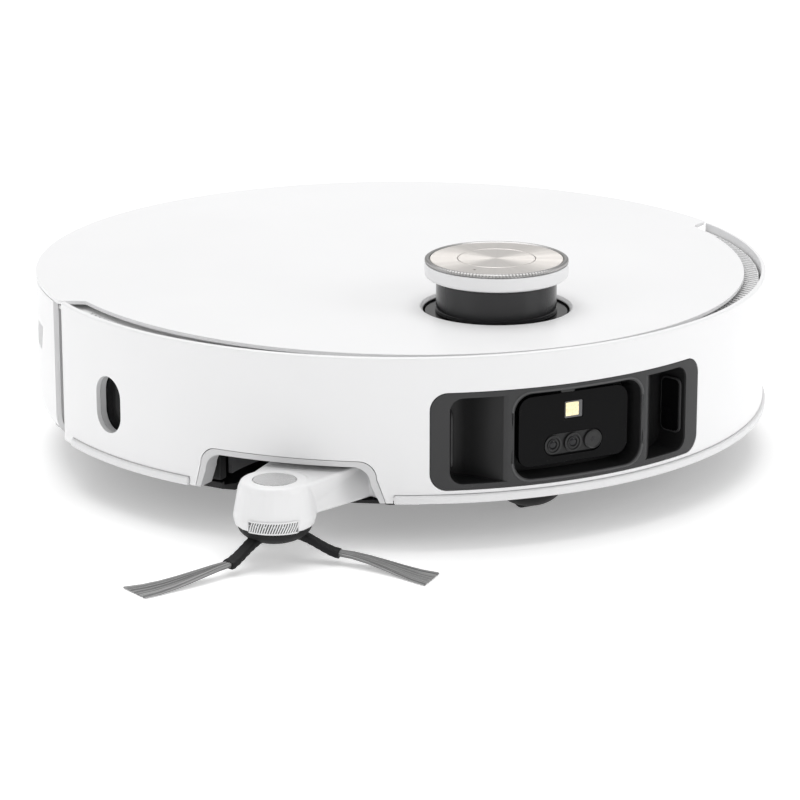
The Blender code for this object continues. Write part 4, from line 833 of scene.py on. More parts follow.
def screws(name: str, places: Sequence[Point], body: str, down: bool, radius: float = 2.6 * MM) -> Piece:
    """Set small cross-head screws.

    Args:
        name: Name of the piece.
        places: Centres of their heads' faces, about the body's axis.
        body: The CAD body they are driven into.
        down: Whether their heads face the floor.
        radius: Radius of a head.

    Returns:
        The screws, as one piece.
    """
    face = -1 if down else 1
    meshes = []
    for x, y, z in places:
        rise = 0.9 * MM
        profile = [(0, -rise), (radius, -rise), (radius, -0.3 * MM), (radius * 0.75, 0), (0, 0)]
        head = lathe(profile, step=15)
        meshes.append(moved(head, Matrix.Translation((x, y, z)) @ Matrix.Scale(face, 4, (0, 0, 1))))
    heads = Piece(name, gather(meshes))
    long = radius * 0.62
    short = 0.35 * MM
    corner = [(long, short), (short, short), (short, long)]
    cross = corner + [(-x, y) for x, y in corner[::-1]]
    cross += [(-x, -y) for x, y in cross]
    slots = [moved(slab(cross, -0.5 * MM, 0.5 * MM), Matrix.Translation(place)) for place in places]
    heads.cut(Piece("slots", gather(slots)))
    return heads.smooth(30).hang(body, Palette.CONTACT)


# ---------------------------------------------------------------- lid and shells


@dataclass
class Lid:
    """The flat round lid, waisted on each side for a fingertip."""

    thickness: float = LID_TOP - LID_LOW.z
    front_radius: float = 171.1 * MM
    waist: float = 7.7 * MM
    waist_bearing: float = 75.0
    step: Flat = (88.8, 91.6)
    hole_clear: float = 0.8 * MM
    hole_bevel: float = 1.3 * MM
    edge_round: float = 0.6 * MM

    def radius(self, bearing: float) -> float:
        """Give the radius of the lid's edge at a bearing of 0 to 180.

        Args:
            bearing: Bearing from the front, on either side.

        Returns:
            The radius.
        """
        bite = math.sin(math.radians(min(bearing, self.step[0]) * 90 / self.waist_bearing)) ** 2
        narrow = self.front_radius - self.waist * bite
        share = ease((bearing - self.step[0]) / (self.step[1] - self.step[0]))
        return narrow + (BODY_RADIUS - narrow) * share

    def outline(self) -> list[Flat]:
        """Give the lid's whole outline.

        Returns:
            Its points in order.
        """
        bearings = spread(0, self.step[0] - 1, 88) + spread(*self.step, 10) + spread(92.5, 180, 88)
        right = [polar(self.radius(bearing), bearing) for bearing in bearings]
        return right + [(-x, y) for x, y in right[-2:0:-1]]

    def build(self) -> None:
        """Make the lid."""
        cover = Piece("lid_cover", slab(self.outline(), LID_TOP - self.thickness, LID_TOP))
        cap_low, cap_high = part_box("turret_cap")
        hole = (cap_high.x - cap_low.x) / 2 + self.hole_clear
        wide = hole + self.hole_bevel
        mouth = [
            (0, LID_TOP - OVER), (hole, LID_TOP - OVER), (hole, LID_TOP - self.hole_bevel),
            (wide, LID_TOP), (wide, LID_TOP + OVER), (0, LID_TOP + OVER),
        ]
        place = on_floor(middle("turret_cap"))
        cover.cut(Piece("hole", lathe(mouth, step=2.5), place))
        cover.soften(self.edge_round, 3).smooth().hang("lid", Palette.SHELL, "lid")


@dataclass
class Bumper:
    """The front half of the wall, with its soft lips and the side brush's arch."""

    end: float = 90.2
    wall: float = 2.2 * MM
    bottom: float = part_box("arch_trim")[0].z
    arch_low: Flat = (-58.55, -29.2)
    arch_high: Flat = (-57.6, -30.5)
    arch_top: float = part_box("arch_trim")[1].z + GAP
    arch_corner: float = 8 * MM
    trim_width: float = 2.4 * MM
    trim_depth: float = 9 * MM
    trim_shallow: float = 2.7 * MM
    hub_radius: float = 18.6 * MM
    lip_arcs: tuple[Flat, Flat] = ((-87.0, -59.5), (-28.2, 87.0))
    lip_proud: float = 1.4 * MM
    lip_thickness: float = 3.6 * MM
    window_half: float = 23.0
    window: Flat = (27.4 * MM, 72 * MM)
    window_corner: float = 8 * MM
    sensor_bearing: float = 76.3
    sensor_width: float = 18.3 * MM
    sensor: Flat = (36 * MM, 62.5 * MM)
    sensor_depth: float = 5.2 * MM

    def arch(self, inset: float, bottom: float) -> list[Column]:
        """Give the columns of the side brush's arch, its edge moved in by an inset.

        Args:
            inset: How far the edge is moved in.
            bottom: Height of the columns' feet.

        Returns:
            Its columns from side to side.
        """
        turn = turn_of(inset)
        top = self.arch_top - inset
        lap = turn_of(self.arch_corner)
        sides = []
        for low, high, sign in (
            (self.arch_low[0], self.arch_high[0], 1), (self.arch_low[1], self.arch_high[1], -1),
        ):
            side = []
            for share in spread(0, 1, 6):
                height = self.bottom + share * (top - self.arch_corner - self.bottom)
                side.append((low + (high - low) * share + sign * turn, bottom, height))
            for angle in spread(0, 90, 10)[1:]:
                height = top - self.arch_corner * (1 - math.sin(math.radians(angle)))
                bearing = high + sign * (turn + lap * (1 - math.cos(math.radians(angle))))
                side.append((bearing, bottom, height))
            sides.append(side)
        first, last = sides
        between = spread(first[-1][0], last[-1][0], 14)[1:-1]
        return first + [(bearing, bottom, top) for bearing in between] + last[::-1]

    def shell(self) -> None:
        """Make the white wall with its openings."""
        inner = BODY_RADIUS - self.wall
        profile = [(inner, self.bottom), (BODY_RADIUS, self.bottom)]
        for angle in spread(0, 90, 5):
            across = BODY_RADIUS - 1.1 * MM * (1 - math.cos(math.radians(angle)))
            profile.append((across, LID_TOP - 1.1 * MM * (1 - math.sin(math.radians(angle)))))
        profile.append((inner + 0.2 * MM, LID_TOP))
        profile.append((inner, LID_TOP - 0.2 * MM))
        shell = Piece("bumper_shell", lathe(profile, -self.end, self.end, 1))
        near = inner - OVER
        far = BODY_RADIUS + OVER
        half = self.window_half
        columns = [wall_rectangle(-half, half, *self.window, self.window_corner)]
        for side in (-1, 1):
            columns.append(wall_pill(side * self.sensor_bearing, self.sensor_width / 2, *self.sensor))
        columns.append(self.arch(0, self.bottom - OVER))
        lip_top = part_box("lip_left")[1].z + GAP
        for start, end in self.lip_arcs:
            columns.append(
                [(b, self.bottom - OVER, lip_top) for b in spread(start, end, round(end - start))]
            )
        for one in columns:
            shell.cut(Piece("opening", wall(one, near, far)))
        shell.soften(0.35 * MM, 2, 50).smooth().hang("bumper", Palette.SHELL, "bumper")

    def lips(self) -> None:
        """Make the soft strips along the bumper's lower edge."""
        outer = BODY_RADIUS + self.lip_proud
        turn = turn_of(GAP)
        for name, (start, end) in zip(("lip_right", "lip_left"), self.lip_arcs):
            low, high = (corner.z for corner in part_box(name))
            columns = [(b, low, high) for b in spread(start + turn, end - turn, round(end - start))]
            strip = Piece(name + "_strip", wall(columns, outer - self.lip_thickness, outer))
            strip.soften(0.9 * MM, 4, 50).smooth().hang("bumper", Palette.LIP, name)

    def trim(self) -> None:
        """Make the light border and return round the arch."""
        outline = self.arch(GAP, self.bottom)
        border = Piece("arch_border", wall(outline, BODY_RADIUS - self.trim_depth, BODY_RADIUS))
        opening = self.arch(GAP + self.trim_width, self.bottom - OVER)
        inner = BODY_RADIUS - self.trim_depth - OVER
        border.cut(Piece("opening", wall(opening, inner, BODY_RADIUS + OVER)))
        centre = (self.arch_high[0] + self.arch_high[1]) / 2
        columns = [(b, self.bottom - OVER, self.arch_top + OVER) for b in spread(centre, -27, 18)]
        border.cut(Piece("relief", wall(columns, inner, BODY_RADIUS - self.trim_shallow)))
        hub = middle("arm_disc") - AXIS
        joint = next(j for j in frame["joints"] if j["name"] == "arm_swing")
        pivot = Vector(joint["pos_m"]) - AXIS
        reach = (hub - pivot).xy.length + self.hub_radius
        sweep = [(pivot.x, pivot.y)]
        for angle in spread(105, 180, 40):
            turn = math.radians(angle)
            sweep.append((pivot.x + reach * math.cos(turn), pivot.y + reach * math.sin(turn)))
        border.cut(Piece("hub_path", slab(sweep, self.bottom - OVER, 36.8 * MM)))
        border.soften(0.3 * MM, 2, 50).smooth().hang("bumper", Palette.TRIM, "arch_trim")

    def side_sensors(self) -> None:
        """Make the deep pill-shaped wells and the gloss windows at their bottoms."""
        inner = BODY_RADIUS - self.wall - GAP
        deep = BODY_RADIUS - self.sensor_depth
        for name, side in (("side_sensor_right", -1), ("side_sensor_left", 1)):
            bearing = side * self.sensor_bearing
            half = self.sensor_width / 2
            low, high = self.sensor
            lap = 1.2 * MM
            well = Piece(
                name + "_well", wall(wall_pill(bearing, half + lap, low - lap, high + lap), deep, inner),
            )
            well.cut(
                Piece("opening", wall(wall_pill(bearing, half, low, high), deep - OVER, inner + OVER))
            )
            well.soften(0.2 * MM).smooth().hang("bumper", Palette.TRIM)
            pane = Piece(
                name + "_pane",
                wall(wall_pill(bearing, half + lap, low - lap, high + lap), deep - 2 * MM, deep - GAP),
            )
            pane.soften(0.2 * MM).smooth().hang("bumper", Palette.GLASS, name)

    def build(self) -> None:
        """Make every piece of the bumper."""
        self.shell()
        self.lips()
        self.trim()
        self.side_sensors()


@dataclass
class CameraWindow:
    """The dark window in the bumper: ring, glass, lamp, lenses and two laser bays."""

    half: float = 22.9
    depth: float = 19 * MM
    low: float = 27.7 * MM
    high: float = 71.7 * MM
    corner: float = 8 * MM
    bay: Flat = (11.2, 20.1)
    bay_corner: float = 6 * MM
    border: float = 2.4 * MM
    rim: float = 1 * MM
    ring_half: float = 10.65
    ring_corner: float = 8.7 * MM
    glass_front: float = 167.7 * MM
    glass: Flat = (55.4 * MM, 32.2 * MM)
    glass_corner: float = 6 * MM
    chip: Flat = (9.5 * MM, 8.1 * MM)
    chip_up: float = 7.9 * MM
    lens_down: float = 7.4 * MM
    lens_pitch: float = 10.2 * MM
    pill: Flat = (29.6 * MM, 10.4 * MM)

    def scoop(self, side: int) -> Piece:
        """Make the cutter for one bay, which deepens from the ring outwards.

        Args:
            side: Which side of the body, -1 for the right and 1 for the left.

        Returns:
            The cutter.
        """
        low = self.low + self.border
        high = self.high - self.border
        outer = [polar(BODY_RADIUS + OVER, side * bearing) for bearing in spread(*self.bay, 10)]
        inner = []
        for share in spread(0, 1, 16):
            bearing = self.bay[0] + (self.bay[1] - self.bay[0]) * share
            radius = BODY_RADIUS + 0.3 * MM - 15 * MM * ease(share * 1.2) ** 0.8
            inner.append(polar(radius, side * bearing))
        ends = sorted((side * (self.bay[0] - 5), side * self.bay[1]))
        bound = wall_rectangle(*ends, low, high, self.bay_corner)
        cutter = Piece("scoop", slab(outer + inner[::-1], low - OVER, high + OVER))
        deep = BODY_RADIUS - 2 * self.depth
        return cutter.combine("INTERSECT", [Piece("bound", wall(bound, deep, BODY_RADIUS + 3 * OVER))])

    def block(self) -> None:
        """Make the dark frame with its ring opening and its two scooped bays."""
        columns = wall_rectangle(-self.half, self.half, self.low, self.high, self.corner)
        low = self.low + self.border
        high = self.high - self.border
        ring = wall_rectangle(-self.ring_half, self.ring_half, low, high, self.ring_corner)
        floor = self.glass_front - 6 * MM
        seat = BODY_RADIUS - self.rim
        layers = (
            ("window_rim", seat + 0.02 * MM, BODY_RADIUS, Palette.FRAME, "window_frame"),
            ("window_bays", BODY_RADIUS - self.depth, seat, Palette.BAY, "camera_housing"),
        )
        for name, inner, outer, look, node in layers:
            layer = Piece(name, wall(columns, inner, outer))
            layer.cut(Piece("ring", wall(ring, floor, BODY_RADIUS + OVER)))
            for side in (-1, 1):
                layer.cut(self.scoop(side))
            layer.soften(0.4 * MM, 3, 40).smooth(35).hang("bumper", look, node)
        # A bead round the ring opening; its lighter grey is a painted highlight along the edge.
        edge = wall_rectangle(
            -self.ring_half - 0.25, self.ring_half + 0.25, low - 0.7 * MM, high + 0.7 * MM,
            self.ring_corner,
        )
        points = [Vector((*polar(BODY_RADIUS - 0.25 * MM, b), top)) for b, _, top in edge]
        points += [Vector((*polar(BODY_RADIUS - 0.25 * MM, b), bottom)) for b, bottom, _ in edge[::-1]]
        points = [p for i, p in enumerate(points) if (p - points[i - 1]).length > 0.05 * MM]
        Piece("ring_bead", tube(points, 0.55 * MM, 8, True)).smooth(60).hang("bumper", Palette.RING)
        notch = wall_rectangle(-3.3, -1.1, high - 1.3 * MM, high + 0.5 * MM, 0.6 * MM)
        plate = Piece("ring_notch", wall(notch, BODY_RADIUS - 3.2 * MM, BODY_RADIUS - 0.9 * MM))
        plate.smooth(30).hang("bumper", Palette.LENS_RING)

    def panes(self) -> None:
        """Make the upright pill windows on the outer wall of each bay."""
        centre = (self.low + self.high) / 2
        for name, side in (("laser_pane_right", -1), ("laser_pane_left", 1)):
            bearing = side * (self.bay[1] - 0.35)
            pill = rounded_rectangle(4.8 * MM, 12 * MM, 2.4 * MM)
            rim = rounded_rectangle(5.6 * MM, 12.8 * MM, 3 * MM)
            stand = Matrix.Rotation(math.radians(90), 4, "X")
            aim = Matrix.Rotation(math.radians(side * 90), 4, "Z")
            for label, outline, thick, look in (
                ("", pill, 0.9 * MM, Palette.GLASS), ("_rim", rim, 0.5 * MM, Palette.FRAME),
            ):
                place = Matrix.Translation((*polar(BODY_RADIUS - 7.6 * MM, bearing), centre))
                mesh = slab(outline, -thick, thick)
                turn = Matrix.Rotation(math.radians(bearing), 4, "Z")
                pane = Piece(name + label, moved(mesh, place @ turn @ aim @ stand))
                pane.soften(0.25 * MM).smooth().hang("bumper", look)

    def face(self) -> None:
        """Make the gloss plate, the lamp chip and the lens row."""
        centre = (self.low + self.high) / 2
        stand = standing(self.glass_front, centre)
        outline = rounded_rectangle(self.glass[0] / 2, self.glass[1] / 2, self.glass_corner)
        plate = Piece("camera_plate", moved(slab(outline, -2 * MM, 0), stand))
        chip = [
            (x, y + self.chip_up)
            for x, y in rounded_rectangle(self.chip[0] / 2, self.chip[1] / 2, 0.6 * MM)
        ]
        plate.cut(Piece("chip_hole", moved(slab(chip, -0.5 * MM, OVER), stand)))
        pill = rounded_rectangle(self.pill[0] / 2, self.pill[1] / 2, self.pill[1] / 2 - 0.1 * MM, 14)
        row = [(x, y - self.lens_down) for x, y in pill]
        plate.cut(Piece("row_hole", moved(slab(row, -1.2 * MM, OVER), stand)))
        plate.soften(0.3 * MM, 2, 50).smooth().hang("bumper", Palette.GLASS, "camera_glass")
        backing = [
            (x, y - self.lens_down) for x, y in rounded_rectangle(14.2 * MM, 4.7 * MM, 4.6 * MM, 14)
        ]
        Piece(
            "lens_row", moved(slab(backing, -1.6 * MM, -0.9 * MM), stand),
        ).soften(0.2 * MM).smooth().hang("bumper", Palette.LENS_BED)
        field = [(x, y + self.chip_up) for x, y in rounded_rectangle(4.4 * MM, 3.8 * MM, 0.5 * MM)]
        Piece(
            "chip_field", moved(slab(field, -1.2 * MM, -0.25 * MM), stand),
        ).smooth(30).hang("bumper", Palette.GREY)
        glow = [
            (x - 0.7 * MM, y + self.chip_up + 0.2 * MM)
            for x, y in rounded_rectangle(3.3 * MM, 3.1 * MM, 0.5 * MM)
        ]
        lamp = Piece("lamp_chip", moved(slab(glow, -0.24 * MM, 0), stand))
        lamp.soften(0.15 * MM).smooth(30).hang("bumper", Palette.LIGHT, "status_light")

    def lenses(self) -> None:
        """Make the three lenses, two of them with stepped rings."""
        centre = (self.low + self.high) / 2 - self.lens_down
        for name, index in (("lens_right", -1), ("lens_middle", 0), ("lens_left", 1)):
            stand = standing(self.glass_front - 0.9 * MM, centre, index * self.lens_pitch)
            if index < 1:
                profile = [
                    (0, 0), (4.3 * MM, 0), (4.3 * MM, 1.0 * MM), (3.5 * MM, 1.0 * MM), (3.2 * MM, 0.35 * MM),
                    (2.7 * MM, 0.35 * MM), (2.6 * MM, 0.85 * MM), (2.1 * MM, 0.85 * MM),
                    (1.9 * MM, 0.3 * MM), (0, 0.3 * MM),
                ]
            else:
                profile = [
                    (0, 0), (4.4 * MM, 0), (4.4 * MM, 0.9 * MM), (4.1 * MM, 1.0 * MM),
                    (3.6 * MM, 0.7 * MM), (0, 0.7 * MM),
                ]
            barrel = Piece(name + "_barrel", moved(lathe(profile, step=8), stand))
            barrel.soften(0.08 * MM, 2, 30).smooth(30).hang("bumper", Palette.LENS_RING, name)
            dome = [(0, 0.2 * MM), (1.9 * MM, 0.2 * MM)]
            dome += [
                (1.9 * MM * math.cos(math.radians(a)), 0.3 * MM + 0.5 * MM * math.sin(math.radians(a)))
                for a in spread(0, 90, 6)[:-1]
            ]
            dome.append((0, 0.8 * MM))
            Piece(
                name + "_glass", moved(lathe(dome, step=8), stand),
            ).smooth(60).hang("bumper", Palette.LENS)

    def build(self) -> None:
        """Make every piece of the window."""
        self.block()
        self.panes()
        self.face()
        self.lenses()


@dataclass
class RearShell:
    """The rear half of the wall, with vents, docking fittings and the channel, painted grey as shade."""

    start: float = 93.8
    wall: float = 2.5 * MM
    curl: float = 9 * MM
    vent_count: int = 5
    vent_bearing: float = 104.0
    vent_pitch: float = 3.1 * MM
    vent: Flat = (1.9 * MM, 13.2 * MM)
    vent_height: float = 62 * MM
    vent_lean: float = 20.0
    pocket: float = 1.2 * MM

    def profile(self) -> list[Flat]:
        """Give the shell's section, rolled in at the foot.

        Returns:
            Its points of (radius, height) in order.
        """
        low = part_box("rear_shell")[0].z
        outside = []
        for angle in spread(0, 90, 10):
            across = BODY_RADIUS - self.curl * (1 - math.sin(math.radians(angle)))
            outside.append((across, low + (self.curl + 2 * MM) * (1 - math.cos(math.radians(angle)))))
        inside = [(radius - self.wall, height + 0.2 * self.wall) for radius, height in outside[1:]]
        inside.insert(0, (outside[0][0] - self.wall, low))
        top = LID_LOW.z - GAP
        upper = [(BODY_RADIUS, top), (BODY_RADIUS - self.wall, top)]
        return outside + upper + inside[::-1]

    def shell(self) -> None:
        """Make the white rear wall with its vents and pockets."""
        shell = Piece("rear_wall", lathe(self.profile(), self.start, 360 - self.start, 1))
        slots = []
        for side in (-1, 1):
            for index in range(self.vent_count):
                shift = (index - (self.vent_count - 1) / 2) * self.vent_pitch
                bearing = side * (self.vent_bearing + turn_of(shift))
                outline = rounded_rectangle(
                    self.vent[0] / 2, self.vent[1] / 2, self.vent[0] / 2 - 0.02 * MM, 5,
                )
                stand = Matrix.Rotation(math.radians(90), 4, "X")
                lean = Matrix.Rotation(math.radians(-side * self.vent_lean), 4, "Y")
                turn = Matrix.Rotation(math.radians(bearing), 4, "Z")
                place = Matrix.Translation((*polar(BODY_RADIUS, bearing), self.vent_height))
                slots.append(
                    moved(slab(outline, -3 * self.wall, 3 * self.wall), place @ turn @ lean @ stand)
                )
        shell.cut(Piece("slots", gather(slots)))
        # A black sheet just behind each row of vent slots: painted shade that makes the slots read dark.
        for name, side in (("vent_shade_sheet_right", -1), ("vent_shade_sheet_left", 1)):
            ends = sorted((side * (self.vent_bearing - 4.5), side * (self.vent_bearing + 4.5)))
            half = self.vent[1] / 2 + 1.5 * MM
            columns = [(b, self.vent_height - half, self.vent_height + half) for b in spread(*ends, 8)]
            inner = BODY_RADIUS - self.wall
            liner = Piece(name, wall(columns, inner - 1.2 * MM, inner - 0.05 * MM))
            liner.smooth().hang("base", Palette.BLACK)
        floor = BODY_RADIUS - self.pocket
        for node in ("charge_contact_left", "charge_contact_right", "dock_window"):
            low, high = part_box(node)
            low, high = low - AXIS, high - AXIS
            ends = sorted(180 - math.degrees(math.asin(x / BODY_RADIUS)) for x in (low.x, high.x))
            lap = turn_of(GAP)
            columns = wall_rectangle(ends[0] - lap, ends[1] + lap, low.z - GAP, high.z + GAP, 1.2 * MM)
            shell.cut(Piece("pocket", wall(columns, floor, BODY_RADIUS + OVER)))
            fitted = wall_rectangle(ends[0], ends[1], low.z, high.z, 1.0 * MM)
            look = Palette.GLOSS if node == "dock_window" else Palette.CONTACT
            plate = Piece(node + "_plate", wall(fitted, floor + GAP, BODY_RADIUS - 0.2 * MM))
            plate.soften(0.25 * MM).smooth().hang("base", look, node)
        shell.soften(0.35 * MM, 2, 45).smooth().hang("base", Palette.SHELL, "rear_shell")

    def channel(self) -> None:
        """Make the strips that close the gap beside each end of the bumper, painted grey as the shade in
        that gap.
        """
        outer = BODY_RADIUS - 3.8 * MM
        inner = outer - 2.6 * MM
        top = LID_LOW.z - 4.7 * MM
        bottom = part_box("rear_shell")[0].z + self.curl / 2
        for name, side in (("channel_right", -1), ("channel_left", 1)):
            ends = sorted((side * 86.0, side * (self.start + 2)))
            columns = [(bearing, bottom, top) for bearing in spread(*ends, 10)]
            strip = Piece(name, wall(columns, inner, outer))
            strip.soften(0.3 * MM).smooth().hang("base", Palette.CHANNEL_SHADE)
            ends = sorted((side * (self.start + 0.3), side * (self.start + 2)))
            columns = [(bearing, bottom, top) for bearing in spread(*ends, 3)]
            web = Piece(name + "_web", wall(columns, outer, BODY_RADIUS - 1.2 * MM))
            web.smooth().hang("base", Palette.CHANNEL_SHADE)

    def build(self) -> None:
        """Make every piece of the rear wall."""
        self.shell()
        self.channel()


# ---------------------------------------------------------------- turret


@dataclass
class Turret:
    """The rising laser turret: plate, column, cap, knurled rim, spun disc and button."""

    cap_round: float = 1.6 * MM
    teeth: int = 130
    tooth_depth: float = 0.55 * MM
    button_radius: float = 17.7 * MM
    column_wall: float = 1.8 * MM

    def place(self) -> Vector:
        """Give the turret's axis on the floor."""
        return on_floor(middle("turret_cap"))

    def turned(self, name: str, profile: Sequence[Flat], look: Palette, body: str, *nodes: str) -> Piece:
        """Turn one piece about the turret's axis and hang it."""
        return Piece(name, lathe(profile, step=2.5), self.place()).smooth(35).hang(body, look, *nodes)

    def radius(self, node: str) -> float:
        """Give half the width of a turned CAD node."""
        low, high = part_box(node)
        return (high.x - low.x) / 2

    def column(self) -> None:
        """Make the gloss plate and the dark column that stands on it."""
        low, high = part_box("turret_plate")
        stem = self.radius("turret_plate")
        plate_low = high.z - 1.7 * MM
        edge = 0.25 * MM
        profile = [
            (0, low.z), (7 * MM, low.z), (8 * MM, low.z + 1 * MM), (8 * MM, plate_low),
            (stem - edge, plate_low),
            (stem, plate_low + edge), (stem, high.z - edge), (stem - edge, high.z), (0, high.z),
        ]
        self.turned("turret_deck_plate", profile, Palette.GLOSS, "turret", "turret_plate")
        low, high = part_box("turret_column")
        outer = self.radius("turret_column")
        inner = outer - self.column_wall
        profile = [
            (inner, low.z), (outer, low.z), (outer, low.z + 1.4 * MM), (
                outer - 0.3 * MM, low.z + 1.6 * MM,
            ),
            (
                outer - 0.3 * MM, high.z - 1.4 * MM,
            ), (outer, high.z - 1.2 * MM), (outer, high.z), (inner, high.z),
        ]
        self.turned("turret_drum", profile, Palette.COLUMN, "turret", "turret_column")

    def cap(self) -> None:
        """Make the white cap and the knurled rim on it."""
        low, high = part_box("turret_cap")
        outer = self.radius("turret_cap")
        profile = [(0, low.z), (outer - self.cap_round, low.z)]
        for angle in spread(0, 90, 6)[1:]:
            across = outer - self.cap_round * (1 - math.sin(math.radians(angle)))
            profile.append((across, low.z + self.cap_round * (1 - math.cos(math.radians(angle)))))
        profile += [(outer, high.z - 0.2 * MM), (outer - 0.2 * MM, high.z), (0, high.z)]
        self.turned("turret_hat", profile, Palette.SHELL, "turret", "turret_cap")
        low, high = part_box("turret_ring")
        inner = self.radius("turret_disc") + GAP
        rows = []
        for index in range(2 * self.teeth):
            bearing = 180 * index / self.teeth
            rim = outer - (self.tooth_depth if index % 2 else 0)
            section = [
                (inner, low.z), (outer - 0.2 * MM, low.z), (rim, low.z + 0.3 * MM), (rim, high.z - 0.5 * MM),
                (outer - 0.9 * MM, high.z), (inner + 0.5 * MM, high.z), (inner, high.z - 0.4 * MM),
            ]
            rows.append([(*polar(radius, bearing), height) for radius, height in section])
        rim = Piece("turret_knurl", loft(rows, True), self.place())
        rim.smooth(20).hang("turret", Palette.KNURL, "turret_ring")

    def disc(self) -> None:
        """Make the spun disc, its button and a pinhole."""
        low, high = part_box("turret_disc")
        outer = self.radius("turret_disc")
        inner = self.button_radius + 0.15 * MM
        edge = 0.2 * MM
        profile = [
            (inner, low.z), (outer, low.z), (outer, high.z - edge), (outer - edge, high.z),
            (inner + edge, high.z), (inner, high.z - edge),
        ]
        ring = Piece("turret_dial", lathe(profile, step=2), self.place())
        hole = Matrix.Translation((-19.2 * MM, -14.5 * MM, high.z - 1.4 * MM))
        ring.cut(Piece("pinhole", moved(slab(circle(0.65 * MM, 16), 0, OVER), hole), self.place()))
        ring.smooth(35).hang("turret", Palette.DISC, "turret_disc")
        low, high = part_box("turret_button")
        outer = self.button_radius - 0.05 * MM
        profile = [
            (0, low.z), (outer, low.z), (outer, high.z - edge), (outer - edge, high.z), (0, high.z),
        ]
        self.turned("turret_push", profile, Palette.DISC, "turret_button", "turret_button")

    def inside(self) -> None:
        """Make the laser head with its two eyes, and the well that the turret sinks into."""
        head = refined("laser_rotor", "laser_head", Palette.GREY, 0.4 * MM)
        low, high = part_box("laser_rotor")
        for name, shift in (("laser_eye", -8 * MM), ("laser_receiver", 7 * MM)):
            front = -(low.y - middle("turret_cap").y) - 0.1 * MM
            profile = [
                (0, -2 * MM), (3 * MM, -2 * MM), (3 * MM, 0.6 * MM), (2.2 * MM, 0.8 * MM),
                (1.9 * MM, 0.2 * MM), (0, 0.5 * MM),
            ]
            mesh = moved(lathe(profile, step=12), standing(front - 0.6 * MM, (low.z + high.z) / 2, shift))
            Piece(name, mesh, self.place()).smooth(40).hang("laser_head", Palette.LENS)
        LOG.info("%s carries the laser's eyes", head.thing.name)
        refined("turret_well", "base", Palette.BLACK, 0.25 * MM)

    def build(self) -> None:
        """Make every piece of the turret."""
        self.column()
        self.cap()
        self.disc()
        self.inside()


# ---------------------------------------------------------------- side brush


